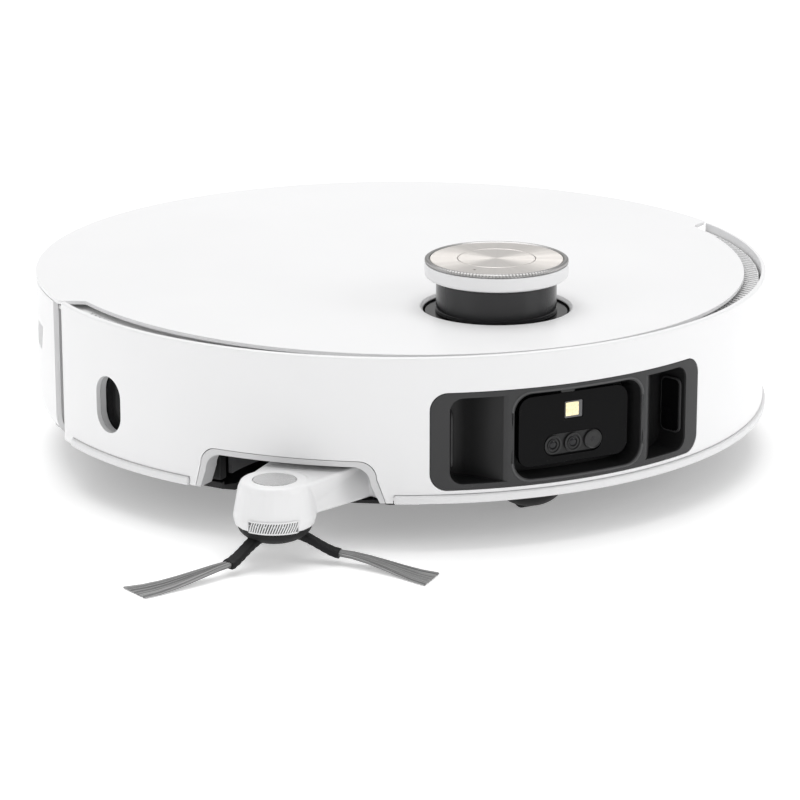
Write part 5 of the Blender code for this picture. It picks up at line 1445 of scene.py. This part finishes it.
@dataclass
class SideBrush:
    """The swing-out arm, its hub, and the three-armed brush under it."""

    voxel: float = 0.5 * MM
    hub_foot: Flat = (17.4 * MM, 17 * MM)
    hub_wide: Flat = (18.3 * MM, 20.5 * MM)
    hub_shoulder: Flat = (15.9 * MM, 33.8 * MM)
    dome_radius: float = 16.4 * MM
    rubber_root: float = 9 * MM
    rubber_end: Flat = (29 * MM, 4.6 * MM)
    lead: float = 10.0
    tip_radius: float = 73.9 * MM
    tips: tuple[float, float, float] = (190.8, 310.6, 70.7)
    strands: int = 150
    strand_radius: float = 0.16 * MM

    def hub(self) -> Vector:
        """Give the brush's axis on the floor."""
        return on_floor(middle("arm_disc"))

    def arm(self) -> None:
        """Make the white arm as one flowing casting."""
        mesh = bmesh.new()
        mesh.from_mesh(frame["nodes"]["brush_arm"].data)
        bmesh.ops.remove_doubles(mesh, verts=mesh.verts, dist=0.001 * MM)
        hub = self.hub()
        mesh.transform(Matrix.Translation(-hub))
        arm = Piece("arm_casting", mesh, hub)
        arm.modify("REMESH", mode="VOXEL", voxel_size=self.voxel, adaptivity=0.0)
        arm.modify("SMOOTH", factor=0.5, iterations=4)
        low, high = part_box("arm_disc")
        radius = (high.x - low.x) / 2
        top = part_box("brush_arm")[1].z
        pocket = Piece("pocket", slab(circle(radius + 0.35 * MM, 72), top - 1.2 * MM, top + OVER), hub)
        arm.cut(pocket)
        arm.smooth(50).hang("brush_arm", Palette.SHELL, "brush_arm")
        edge = 0.3 * MM
        profile = [
            (0, top - 1.1 * MM), (radius, top - 1.1 * MM), (radius, top - edge), (radius - edge, top),
            (radius - 1.2 * MM, top - 0.1 * MM), (0, top - 0.45 * MM),
        ]
        Piece(
            "arm_cap_disc", lathe(profile, step=3), hub,
        ).smooth(30).hang("brush_arm", Palette.HUB_DISC, "arm_disc")

    def grille(self) -> None:
        """Make the framed strip of slanting ribs on the front of the hub."""
        ribs = []
        low, high = 17.4 * MM, 21.9 * MM
        for bearing in spread(-62, 3, 18):
            rows = []
            for share in spread(0, 1, 3):
                height = low + (high - low) * share
                turn = bearing + 5.5 * share
                reach = self.side(height) + 0.1 * MM
                rows.append([
                    (*polar(reach, turn - 0.8), height), (*polar(reach + 0.55 * MM, turn - 0.8), height),
                    (*polar(reach + 0.55 * MM, turn + 0.8), height), (*polar(reach, turn + 0.8), height),
                ])
            ribs.append(loft(rows))
        Piece("hub_ribs", gather(ribs), self.hub()).smooth(30).hang("brush_arm", Palette.SHELL)
        rows = []
        for bearing in spread(-63, 8, 30):
            near, far = self.side(low), self.side(high)
            section = [
                (near - 1 * MM, low), (near + 0.3 * MM, low), (far + 0.3 * MM, high), (far - 1 * MM, high)
            ]
            rows.append([(*polar(radius, bearing), height) for radius, height in section])
        Piece("hub_rib_bed", loft(rows), self.hub()).smooth(30).hang("brush_arm", Palette.GREY)
        points = []
        for bearing in spread(-64, 9, 30):
            points.append(Vector((*polar(self.side(high) + 0.35 * MM, bearing), high + 0.3 * MM)))
        for bearing in spread(9, -64, 30):
            points.append(Vector((*polar(self.side(low) + 0.35 * MM, bearing), low - 0.3 * MM)))
        Piece(
            "hub_rib_edge", tube(points, 0.35 * MM, 6, True), self.hub(),
        ).smooth(60).hang("brush_arm", Palette.SHELL)

    def side(self, height: float) -> float:
        """Give the radius of the hub's side at a height.

        Args:
            height: A height on the hub.

        Returns:
            The radius.
        """
        if height < self.hub_wide[1]:
            share = (height - self.hub_foot[1]) / (self.hub_wide[1] - self.hub_foot[1])
            return self.hub_foot[0] + (self.hub_wide[0] - self.hub_foot[0]) * share
        share = (height - self.hub_wide[1]) / (self.hub_shoulder[1] - self.hub_wide[1])
        return self.hub_wide[0] + (self.hub_shoulder[0] - self.hub_wide[0]) * share

    def point(self, radius: float, angle: float, height: float) -> Vector:
        """Give a point about the brush's axis, its angle measured from +X."""
        turn = math.radians(angle)
        return Vector((radius * math.cos(turn), radius * math.sin(turn), height))

    def rotor(self) -> None:
        """Make the domed rotor and its three ribbed rubber arms."""
        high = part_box("brush_rotor")[1].z
        bottom = 8.5 * MM
        profile = [(0, high), (self.dome_radius, high)]
        for angle in spread(0, 90, 10)[1:-1]:
            profile.append(
                (
                    self.dome_radius * math.cos(math.radians(angle)),
                    high - (high - bottom) * math.sin(math.radians(angle)),
                )
            )
        profile.append((0, bottom))
        dome = Piece("brush_dome", lathe(profile, step=5), self.hub())
        dome.smooth(40).hang("side_brush", Palette.RUBBER, "brush_rotor")
        profile = [
            (0, bottom - 0.6 * MM), (3.2 * MM, bottom - 0.6 * MM), (4 * MM, bottom + 0.4 * MM),
            (4 * MM, bottom + 1.5 * MM), (0, bottom + 1.5 * MM),
        ]
        Piece(
            "brush_screw", lathe(profile, step=12), self.hub(),
        ).smooth(30).hang("side_brush", Palette.CONTACT)
        for name, tip in zip(("right", "front", "back"), self.tips):
            rows = []
            for share in spread(0, 1, 14):
                radius = self.rubber_root + (self.rubber_end[0] - self.rubber_root) * share
                height = 12.6 * MM - (12.6 * MM - self.rubber_end[1]) * (
                    0.35 * share + 0.65 * ease(share)
                )
                wide = (3.4 - 0.5 * math.sin(math.pi * share)) * MM
                thick = (1.7 - 0.15 * share) * MM
                swell = 1.0 + (0.1 if round(share * 14) % 2 else 0)
                centre = self.point(radius, tip + self.lead, height)
                side = self.point(1, tip + self.lead + 90, 0)
                ring = []
                for x, y in rounded_rectangle(wide * swell, thick, 1.1 * MM, 3):
                    ring.append(tuple(centre + side * x + Vector((0, 0, y))))
                rows.append(ring)
            arm = Piece(f"rubber_arm_{name}", loft(rows), self.hub())
            arm.smooth(50).hang("side_brush", Palette.RUBBER)

    def bundle(self, name: str, tip: float, seed: int) -> None:
        """Make one fan of bristles, each a fine strand.

        Args:
            name: Which bundle it is.
            tip: Angle of the middle of its tips.
            seed: Seed for the strands' small differences.
        """
        draw = random.Random(seed)
        meshes = []
        for index in range(self.strands):
            across = 2 * (index + 0.5) / self.strands - 1
            layer = draw.uniform(-1, 1)
            reach = self.tip_radius * (1 - draw.uniform(0, 0.008))
            wander = draw.uniform(-0.35, 0.35) * MM
            points = []
            for share in spread(0, 1, 6):
                radius = self.rubber_end[0] - 1.5 * MM + (reach - self.rubber_end[0] + 1.5 * MM) * share
                curve = tip + self.lead * (1 - share) ** 1.15
                half = (2.0 + 6.6 * share ** 1.25) * MM
                drop = self.rubber_end[1] * (1 - ease(share * 1.05))
                height = drop + 0.45 * MM + layer * (0.9 - 0.65 * share) * MM
                centre = self.point(radius, curve, max(height, 0.3 * MM))
                side = self.point(1, curve + 90, 0)
                points.append(centre + side * (across * half + wander * share))
            meshes.append(tube(points, self.strand_radius, 4))
        node = "bristles_" + name
        Piece(
            f"bristle_fan_{name}", gather(meshes), self.hub(),
        ).smooth(80).hang("side_brush", Palette.BRISTLE, node)

    def build(self) -> None:
        """Make every piece of the side brush."""
        self.arm()
        self.grille()
        self.rotor()
        for seed, (name, tip) in enumerate(zip(("right", "front", "back"), self.tips)):
            self.bundle(name, tip, seed)


# ---------------------------------------------------------------- chassis and running gear


@dataclass
class Chassis:
    """The black pan with its bays, sensors, caster and screws, and the arch's inside."""

    def pan(self) -> None:
        """Make the pan, the mop bay's roof and the pieces screwed to them."""
        refined("floor_pan", "base", Palette.BLACK, 0.4 * MM)
        refined("mop_bay", "base", Palette.BLACK, 0.4 * MM)
        refined("roller_guard", "base", Palette.GREY, 0.6 * MM)
        refined("roller_hood", "base", Palette.BLACK, 0.3 * MM)
        refined("arm_guard", "base", Palette.GREY, 0.3 * MM)
        refined("caster_socket", "base", Palette.BLACK, 0.3 * MM)
        for node in ("cliff_sensor_right", "cliff_sensor_left"):
            refined(node, "base", Palette.GLOSS, 0.3 * MM)
        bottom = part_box("floor_pan")[0].z
        places = [
            (*polar(138 * MM, bearing), bottom - 0.4 * MM) for bearing in (-12, 12, 38, 62, 84, -84, -66)
        ]
        screws("pan_screws", places, "base", True)
        low, high = (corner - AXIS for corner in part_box("roller_guard"))
        edge = 4.5 * MM
        corners = [
            (x, y) for x in (low.x + edge, 0, high.x - edge) for y in (low.y + edge, high.y - edge)
        ]
        screws("guard_screws", [(x, y, low.z - 0.3 * MM) for x, y in corners], "base", True, 2.2 * MM)

    def ribs(self) -> None:
        """Make shallow stiffening ribs on the pan's underside."""
        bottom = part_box("floor_pan")[0].z
        meshes = []
        for radius in (112 * MM, 146 * MM):
            for start, end in ((8, 60), (-24, -8)):
                profile = [
                    (radius, bottom + 0.5 * MM), (radius, bottom - 0.7 * MM),
                    (radius + 1.4 * MM, bottom - 0.7 * MM), (radius + 1.4 * MM, bottom + 0.5 * MM),
                ]
                meshes.append(lathe(profile, start, end, 2))
        Piece("pan_ribs", gather(meshes)).soften(0.25 * MM).smooth().hang("base", Palette.BLACK)

    def caster(self) -> None:
        """Make the caster's dome and wheel."""
        low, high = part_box("caster_swivel")
        centre = on_floor((low + high) / 2)
        radius = (high.x - low.x) / 2
        belt = 13 * MM
        profile = [(0, high.z), (radius, high.z)]
        for angle in spread(0, 90, 18)[:-1]:
            turn = math.radians(angle)
            profile.append((radius * math.cos(turn), belt - (belt - low.z) * math.sin(turn)))
        profile.append((0, low.z))
        dome = Piece("caster_dome", lathe(profile, step=4), centre)
        wheel_low, wheel_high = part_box("caster_wheel")
        wide = (wheel_high.x - wheel_low.x) / 2 + 0.6 * MM
        reach = (wheel_high.y - wheel_low.y) / 2 + 0.8 * MM
        slot = slab(rounded_rectangle(wide, reach, 1.5 * MM), -OVER, wheel_high.z + 0.8 * MM)
        dome.cut(Piece("slot", slot, on_floor(middle("caster_wheel"))))
        dome.soften(0.3 * MM, 2, 50).smooth().hang("caster_fork", Palette.BLACK, "caster_swivel")
        refined("caster_wheel", "caster_wheel", Palette.RUBBER, 0.5 * MM)

    def arch_inside(self) -> None:
        """Make the post, panel and rails that show through the side brush's arch."""
        inner = BODY_RADIUS - 17 * MM
        columns = [(bearing, 22 * MM, 46 * MM) for bearing in spread(-60, -56.7, 4)]
        Piece(
            "arch_post", wall(columns, inner, inner + 5 * MM),
        ).soften(0.5 * MM).smooth().hang("base", Palette.BLACK)
        columns = [(bearing, 37.8 * MM, 46 * MM) for bearing in spread(-56, -36, 16)]
        Piece(
            "arch_panel", wall(columns, inner - 4 * MM, inner - 2 * MM),
        ).soften(0.4 * MM).smooth().hang("base", Palette.GREY)
        for name, height in (("arch_rail_low", 38.4 * MM), ("arch_rail_high", 42 * MM)):
            columns = [(bearing, height, height + 1.6 * MM) for bearing in spread(-56, -38, 16)]
            rail = Piece(name, wall(columns, inner - 2.2 * MM, inner + 0.5 * MM))
            rail.soften(0.3 * MM).smooth().hang("base", Palette.PALE_GREY)

    def build(self) -> None:
        """Make every piece of the chassis."""
        self.pan()
        self.ribs()
        self.caster()
        self.arch_inside()


@dataclass
class RunningGear:
    """Drive wheels with block treads, their arms, and the main roller."""

    treads: int = 30
    tread_depth: float = 1.6 * MM
    fins: int = 6
    twist: float = 100.0

    def wheel(self, name: str, side: int) -> None:
        """Make one wheel and its suspension arm.

        Args:
            name: Name of the side.
            side: Which side of the body, -1 for the right and 1 for the left.
        """
        refined(f"swing_arm_{name}", f"suspension_{name}", Palette.GREY, 0.6 * MM)
        low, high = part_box(f"tyre_{name}")
        centre = (low + high) / 2
        radius = (high.z - low.z) / 2
        half = (high.x - low.x) / 2
        lay = Matrix.Rotation(math.radians(90), 4, "Y")
        inner = radius - 5 * MM
        base = radius - self.tread_depth
        edge = 1.2 * MM
        profile = [
            (inner, -half), (base - edge, -half), (base, edge - half), (base, half - edge),
            (base - edge, half), (inner, half),
        ]
        tyre = Piece(f"tyre_body_{name}", moved(lathe(profile, step=3), lay), centre)
        tyre.smooth(35).hang(f"wheel_{name}", Palette.RUBBER, f"tyre_{name}")
        blocks = []
        for index in range(self.treads):
            for row, shift in ((-1, 0.0), (1, 0.5)):
                bearing = 360 * (index + shift) / self.treads
                ends = sorted((row * 0.4 * MM, row * (half - 0.8 * MM)))
                rows = []
                for height, skew in zip(ends, (0.0, 2.5)):
                    wide = 3.4
                    rows.append([
                        (
                            *polar(base - 0.3 * MM, bearing + skew - wide), height,
                        ), (*polar(radius, bearing + skew - wide + 0.7), height),
                        (*polar(radius, bearing + skew + wide - 0.7), height), (
                            *polar(base - 0.3 * MM, bearing + skew + wide), height,
                        ),
                    ])
                blocks.append(loft(rows))
        tread = Piece(f"tyre_tread_{name}", moved(gather(blocks), lay), centre)
        tread.smooth(30).hang(f"wheel_{name}", Palette.RUBBER)
        self.hub(name, side, centre, inner - GAP, half)

    def hub(self, name: str, side: int, centre: Vector, rim: float, half: float) -> None:
        """Make a wheel's hub with lightening pockets round its face.

        Args:
            name: Name of the side.
            side: Which side of the body, -1 for the right and 1 for the left.
            centre: The wheel's centre.
            rim: Radius of the hub's rim.
            half: Half the wheel's width.
        """
        bore = 4.3 * MM
        dish = half - 3 * MM
        profile = [
            (bore, -half), (rim, -half), (rim, half), (rim - 3 * MM, half), (rim - 5 * MM, dish),
            (11 * MM, dish), (9 * MM, half - 1 * MM), (bore, half - 1 * MM),
        ]
        profile = [(radius, side * height) for radius, height in profile]
        lay = Matrix.Rotation(math.radians(90), 4, "Y")
        hub = Piece(f"wheel_rim_{name}", moved(lathe(profile, step=4), lay), centre)
        pockets = []
        for index in range(8):
            x, y = polar((rim + 8 * MM) / 2, 45 * index)
            pocket = slab(circle(3.4 * MM, 20), dish - 2 * MM, half + OVER)
            pockets.append(
                moved(pocket, lay @ Matrix.Scale(side, 4, (0, 0, 1)) @ Matrix.Translation((x, y, 0)))
            )
        hub.cut(Piece("pockets", gather(pockets), centre))
        hub.soften(0.4 * MM).smooth(35).hang(f"wheel_{name}", Palette.GREY, f"wheel_hub_{name}")

    def roller(self) -> None:
        """Make the roller: a core, soft twisted fins, and twisted bristle strips."""
        low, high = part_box("main_roller")
        centre = (low + high) / 2
        half = (high.x - low.x) / 2
        radius = (high.z - low.z) / 2
        root = 14 * MM
        lay = Matrix.Rotation(math.radians(90), 4, "Y")
        profile = [
            (0, -half), (root - 1 * MM, -half), (root, 1 * MM - half), (root, half - 1 * MM),
            (root - 1 * MM, half), (0, half),
        ]
        core = Piece("roller_core", moved(lathe(profile, step=6), lay), centre)
        core.smooth(35).hang("roller", Palette.GREY, "main_roller")
        for name, first in (("roller_fins", 0.0), ("roller_strips", 180 / self.fins)):
            fins = []
            tall = radius if first == 0 else radius - 1.2 * MM
            wide = 1.1 * MM if first == 0 else 1.9 * MM
            for index in range(self.fins):
                rows = []
                for share in spread(0, 1, 48):
                    turn = first + 360 * index / self.fins + self.twist * abs(2 * share - 1)
                    x = (2 * share - 1) * (half - 0.6 * MM)
                    angle = math.radians(turn)
                    out = Vector((0, math.cos(angle), math.sin(angle)))
                    side = Vector((0, -math.sin(angle), math.cos(angle)))
                    ring = []
                    for reach, across in (
                        (root - 0.5 * MM, -wide), (tall, -wide * 0.45), (tall, wide * 0.45),
                        (root - 0.5 * MM, wide),
                    ):
                        ring.append(tuple(out * reach + side * across + Vector((x, 0, 0))))
                    rows.append(ring)
                fins.append(loft(rows))
            look = Palette.RUBBER if first == 0 else Palette.BRISTLE
            Piece(name, gather(fins), centre).smooth(30).hang("roller", look)

    def build(self) -> None:
        """Make both wheels and the roller."""
        self.wheel("right", -1)
        self.wheel("left", 1)
        self.roller()


@dataclass
class Mops:
    """The spinning mop plates and their sewn cloth pads."""

    edge: float = 3.2 * MM
    channels: int = 12
    voxel: float = 2.2 * MM
    frames: int = 14
    cap: float = 1.6 * MM

    def pad_mesh(self, radius: float, thickness: float) -> bmesh.types.BMesh:
        """Make the pad a little small, ready to be puffed up.

        Args:
            radius: The pad's full radius.
            thickness: The pad's full thickness.

        Returns:
            The mesh.
        """
        shrink = 1.2 * MM
        low = shrink * 0.4
        high = thickness - shrink * 0.6
        outer = radius - shrink
        round_off = self.edge * 0.7
        profile = [(0, low), (outer - round_off, low)]
        profile += [
            (
                outer - round_off * (1 - math.sin(math.radians(a))),
                low + round_off * 0.6 * (1 - math.cos(math.radians(a))),
            )
            for a in spread(0, 90, 5)[1:]
        ]
        profile += [
            (
                outer - round_off * (1 - math.cos(math.radians(a))),
                high - round_off * 0.6 * (1 - math.sin(math.radians(a))),
            )
            for a in spread(0, 90, 5)
        ]
        profile.append((0, high))
        return lathe(profile, step=5)

    def puff(self, pad: Piece, thickness: float) -> None:
        """Swell the pad by cloth simulation, and keep every point within the cap.

        Args:
            pad: The pad to swell.
            thickness: The pad's full thickness.
        """
        pad.modify("REMESH", mode="VOXEL", voxel_size=self.voxel)
        start = [vertex.co.copy() for vertex in pad.thing.data.vertices]
        cloth = pad.thing.modifiers.new("cloth", "CLOTH")
        cloth.settings.use_pressure = True
        cloth.settings.uniform_pressure_force = 3.0
        cloth.settings.effector_weights.gravity = 0
        cloth.point_cache.frame_end = self.frames
        for number in range(1, self.frames + 1):
            bpy.context.scene.frame_set(number)
        graph = bpy.context.evaluated_depsgraph_get()
        puffed = [vertex.co.copy() for vertex in pad.thing.evaluated_get(graph).data.vertices]
        pad.thing.modifiers.clear()
        bpy.context.scene.frame_set(1)
        for vertex, before, after in zip(pad.thing.data.vertices, start, puffed):
            shift = after - before
            if shift.length > self.cap:
                shift = shift.normalized() * self.cap
            spot = before + shift
            spot.z = max(0.0, min(thickness, spot.z))
            vertex.co = spot

    def sew(self, pad: Piece, radius: float) -> None:
        """Press the sewn ring and the radial channels into the pad's underside and rim."""
        for vertex in pad.thing.data.vertices:
            x, y, z = vertex.co
            away = math.hypot(x, y)
            turn = math.atan2(y, x) * self.channels / math.tau
            from_channel = abs(turn - round(turn)) * math.tau / self.channels * away
            groove = math.exp(-((from_channel / (1.3 * MM)) ** 2)) * ease(
                (away - 0.3 * radius) / (0.2 * radius)
            )
            ring = math.exp(-(((away - 0.9 * radius) / (1.2 * MM)) ** 2))
            hub = math.exp(-(((away - 0.3 * radius) / (1.5 * MM)) ** 2))
            press = 0.9 * MM * max(groove, ring, hub)
            vertex.co.z = z + press if z < 3 * MM else z - press * 0.5

    def pad(self, name: str, source: Piece | None) -> Piece:
        """Make one pad, or a copy of the first one turned over to the other side.

        Args:
            name: Name of the side.
            source: A finished pad to copy, if there is one.

        Returns:
            The pad.
        """
        node = f"mop_pad_{name}"
        low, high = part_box(node)
        centre = on_floor((low + high) / 2)
        radius = (high.x - low.x) / 2
        thickness = high.z - low.z
        pad = Piece(f"mop_cloth_{name}", self.pad_mesh(radius, thickness), centre)
        if source:
            pad.thing.data = source.thing.data.copy()
            pad.thing.data.transform(Matrix.Rotation(math.radians(15), 4, "Z"))
        else:
            self.puff(pad, thickness)
            pad.modify("SUBSURF", levels=1, render_levels=1)
            self.sew(pad, radius)
        pad.smooth(180).hang(f"mop_{name}", Palette.CLOTH, node)
        profile = [
            (radius - 0.9 * MM, 1.6 * MM), (radius - 0.1 * MM, 2.2 * MM), (radius, 3.4 * MM),
            (radius - 0.1 * MM, 4.8 * MM),
            (radius - 0.9 * MM, 5.4 * MM), (radius - 2.2 * MM, 4.4 * MM), (radius - 2.2 * MM, 2.6 * MM),
        ]
        band = Piece(f"mop_binding_{name}", lathe(profile, step=3), centre)
        band.smooth(60).hang(f"mop_{name}", Palette.BINDING)
        return pad

    def build(self) -> None:
        """Make both mops and the drive above them."""
        first = None
        for name in ("right", "left"):
            refined(f"mop_plate_{name}", f"mop_{name}", Palette.GREY, 0.5 * MM)
            first = self.pad(name, first)
        refined("mop_drive", "mop_lift", Palette.GREY, 0.6 * MM)


@dataclass
class Inside:
    """What shows when the lid is off: deck, finger-gap floor, bin, tank, battery and fan."""

    rib_pitch: float = 1.3

    def deck(self) -> None:
        """Make the deck and the ribbed floors of the finger gaps."""
        # The deck's lighter grey is painted light that lifts the shade falling on it.
        refined("deck", "base", Palette.GRIP, 0.3 * MM)
        top = LID_TOP - 4 * MM
        ribs = []
        for side in (-1, 1):
            for bearing in spread(34, 86, round(52 / self.rib_pitch)):
                rows = []
                for share in spread(0, 1, 3):
                    radius = (164.8 + 6.4 * share) * MM
                    turn = side * (bearing - 1.4 * share)
                    half = 0.16
                    rows.append([
                        (
                            *polar(radius, turn - half), top - 0.2 * MM,
                        ), (*polar(radius, turn + half), top - 0.2 * MM),
                        (
                            *polar(radius, turn + half * 0.6), top + 0.5 * MM,
                        ), (*polar(radius, turn - half * 0.6), top + 0.5 * MM),
                    ])
                ribs.append(loft(rows))
        Piece("grip_ribs", gather(ribs)).smooth(30).hang("base", Palette.TRIM)
        places = [
            (*polar(146 * MM, bearing), top + 0.9 * MM)
            for bearing in (-58, 58, -112, 112, -150, 150, 180)
        ]
        screws("deck_screws", places, "base", False)

    def bin(self) -> None:
        """Make the bin, its cover with a grip, and its filter grille."""
        refined("dust_bin", "base", Palette.SMOKE, 0.4 * MM)
        refined("bin_cover", "base", Palette.PALE_GREY, 0.8 * MM)
        low, high = (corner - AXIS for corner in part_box("bin_cover"))
        top = high.z
        bars = []
        for index in range(14):
            x = low.x + 14 * MM + index * 3.6 * MM
            bars.append(
                brick(
                    (x, low.y + 14 * MM, top - 0.2 * MM), (x + 1.6 * MM, high.y - 14 * MM, top + 0.8 * MM)
                )
            )
        Piece("filter_bars", gather(bars)).soften(0.3 * MM).smooth().hang("base", Palette.GREY)
        grip = [(x + 38 * MM, y - 7 * MM) for x, y in rounded_rectangle(26 * MM, 8 * MM, 7.5 * MM)]
        handle = Piece("bin_grip", slab(grip, top - 0.2 * MM, top + 1.2 * MM))
        well = [(x + 38 * MM, y - 7 * MM) for x, y in rounded_rectangle(22 * MM, 4.6 * MM, 4.5 * MM)]
        handle.cut(Piece("well", slab(well, top + 0.1 * MM, top + OVER)))
        handle.soften(0.4 * MM).smooth().hang("base", Palette.GREY)

    def rest(self) -> None:
        """Make the tank, battery and fan."""
        refined("water_tank", "base", Palette.SMOKE, 0)
        refined("battery", "base", Palette.FRAME, 0)
        refined("suction_fan", "base", Palette.GREY, 0.8 * MM)

    def build(self) -> None:
        """Make every piece inside."""
        self.deck()
        self.bin()
        self.rest()


# ---------------------------------------------------------------- studio


@dataclass
class Studio:
    """A plain pale floor, soft lights and the camera."""

    camera_place: Point = (-0.7162, -1.4007, 0.4786)
    camera_aim: Point = (-0.0004, 0.0002, 0.018)
    lens: float = 151.3
    floor_half: float = 6.0
    floor_glow: float = 0.32

    def soft_light(self, name: str, place: Point, size: float, power: float) -> None:
        """Hang a square soft light that faces the machine.

        Args:
            name: Name of the light.
            place: Where it hangs, about the body's axis.
            size: Length of its side.
            power: Its power in watts.
        """
        data = bpy.data.lights.new(name, "AREA")
        data.size = size
        data.energy = power
        lamp = bpy.data.objects.new(name, data)
        bpy.context.scene.collection.objects.link(lamp)
        lamp.location = AXIS + Vector(place)
        aim = AXIS + Vector((0, 0, 0.05)) - lamp.location
        lamp.rotation_euler = aim.to_track_quat("-Z", "Y").to_euler()

    def floor(self) -> None:
        """Lay the pale floor."""
        half = self.floor_half
        mesh = bmesh.new()
        corners = [
            mesh.verts.new((x, y, 0))
            for x, y in ((-half, -half), (half, -half), (half, half), (-half, half))
        ]
        mesh.faces.new(corners)
        floor = Piece("studio_floor", mesh)
        shader = Shader("pale_floor")
        cloud = shader.noise(1.5, 2.0)
        tone = shader.tones(cloud, (0.93, 0.93, 0.93), (0.95, 0.95, 0.95))
        shader.set(Base_Color=tone, Roughness=0.9, Emission_Color=tone, Emission_Strength=self.floor_glow)
        floor.thing.data.materials.append(shader.material)
        floor.thing.location.z = -0.05 * MM

    def camera(self) -> None:
        """Set up the camera."""
        data = bpy.data.cameras.new("camera")
        data.lens = self.lens
        data.clip_end = 50
        camera = bpy.data.objects.new("camera", data)
        bpy.context.scene.collection.objects.link(camera)
        camera.location = AXIS + Vector(self.camera_place)
        aim = Vector(self.camera_aim) - Vector(self.camera_place)
        camera.rotation_euler = aim.to_track_quat("-Z", "Y").to_euler()
        bpy.context.scene.camera = camera

    def build(self) -> None:
        """Make the floor, the lights, the sky and the camera."""
        self.floor()
        self.camera()
        self.soft_light("light_above", (0.1, 0.3, 1.6), 1.6, 18.5)
        self.soft_light("light_left", (-1.7, -0.2, 0.7), 0.9, 2.5)
        self.soft_light("light_front", (1.2, -1.4, 0.8), 0.9, 6)
        world = bpy.data.worlds.new("studio_sky")
        world.use_nodes = True
        world.node_tree.nodes["Background"].inputs["Color"].default_value = (1, 1, 1, 1)
        world.node_tree.nodes["Background"].inputs["Strength"].default_value = 0.57
        bpy.context.scene.world = world
        bpy.context.scene.view_settings.view_transform = "Standard"


def main() -> None:
    """Build every sub-assembly in order and report each piece."""
    logging.basicConfig(level=logging.INFO, format="%(message)s")
    builders: list[Callable[[], None]] = [
        Studio().build, Lid().build, Bumper().build, CameraWindow().build, RearShell().build,
        Turret().build, SideBrush().build, Chassis().build, RunningGear().build, Mops().build,
        Inside().build,
    ]
    for build in builders:
        build()


if __name__ == "__main__":
    main()
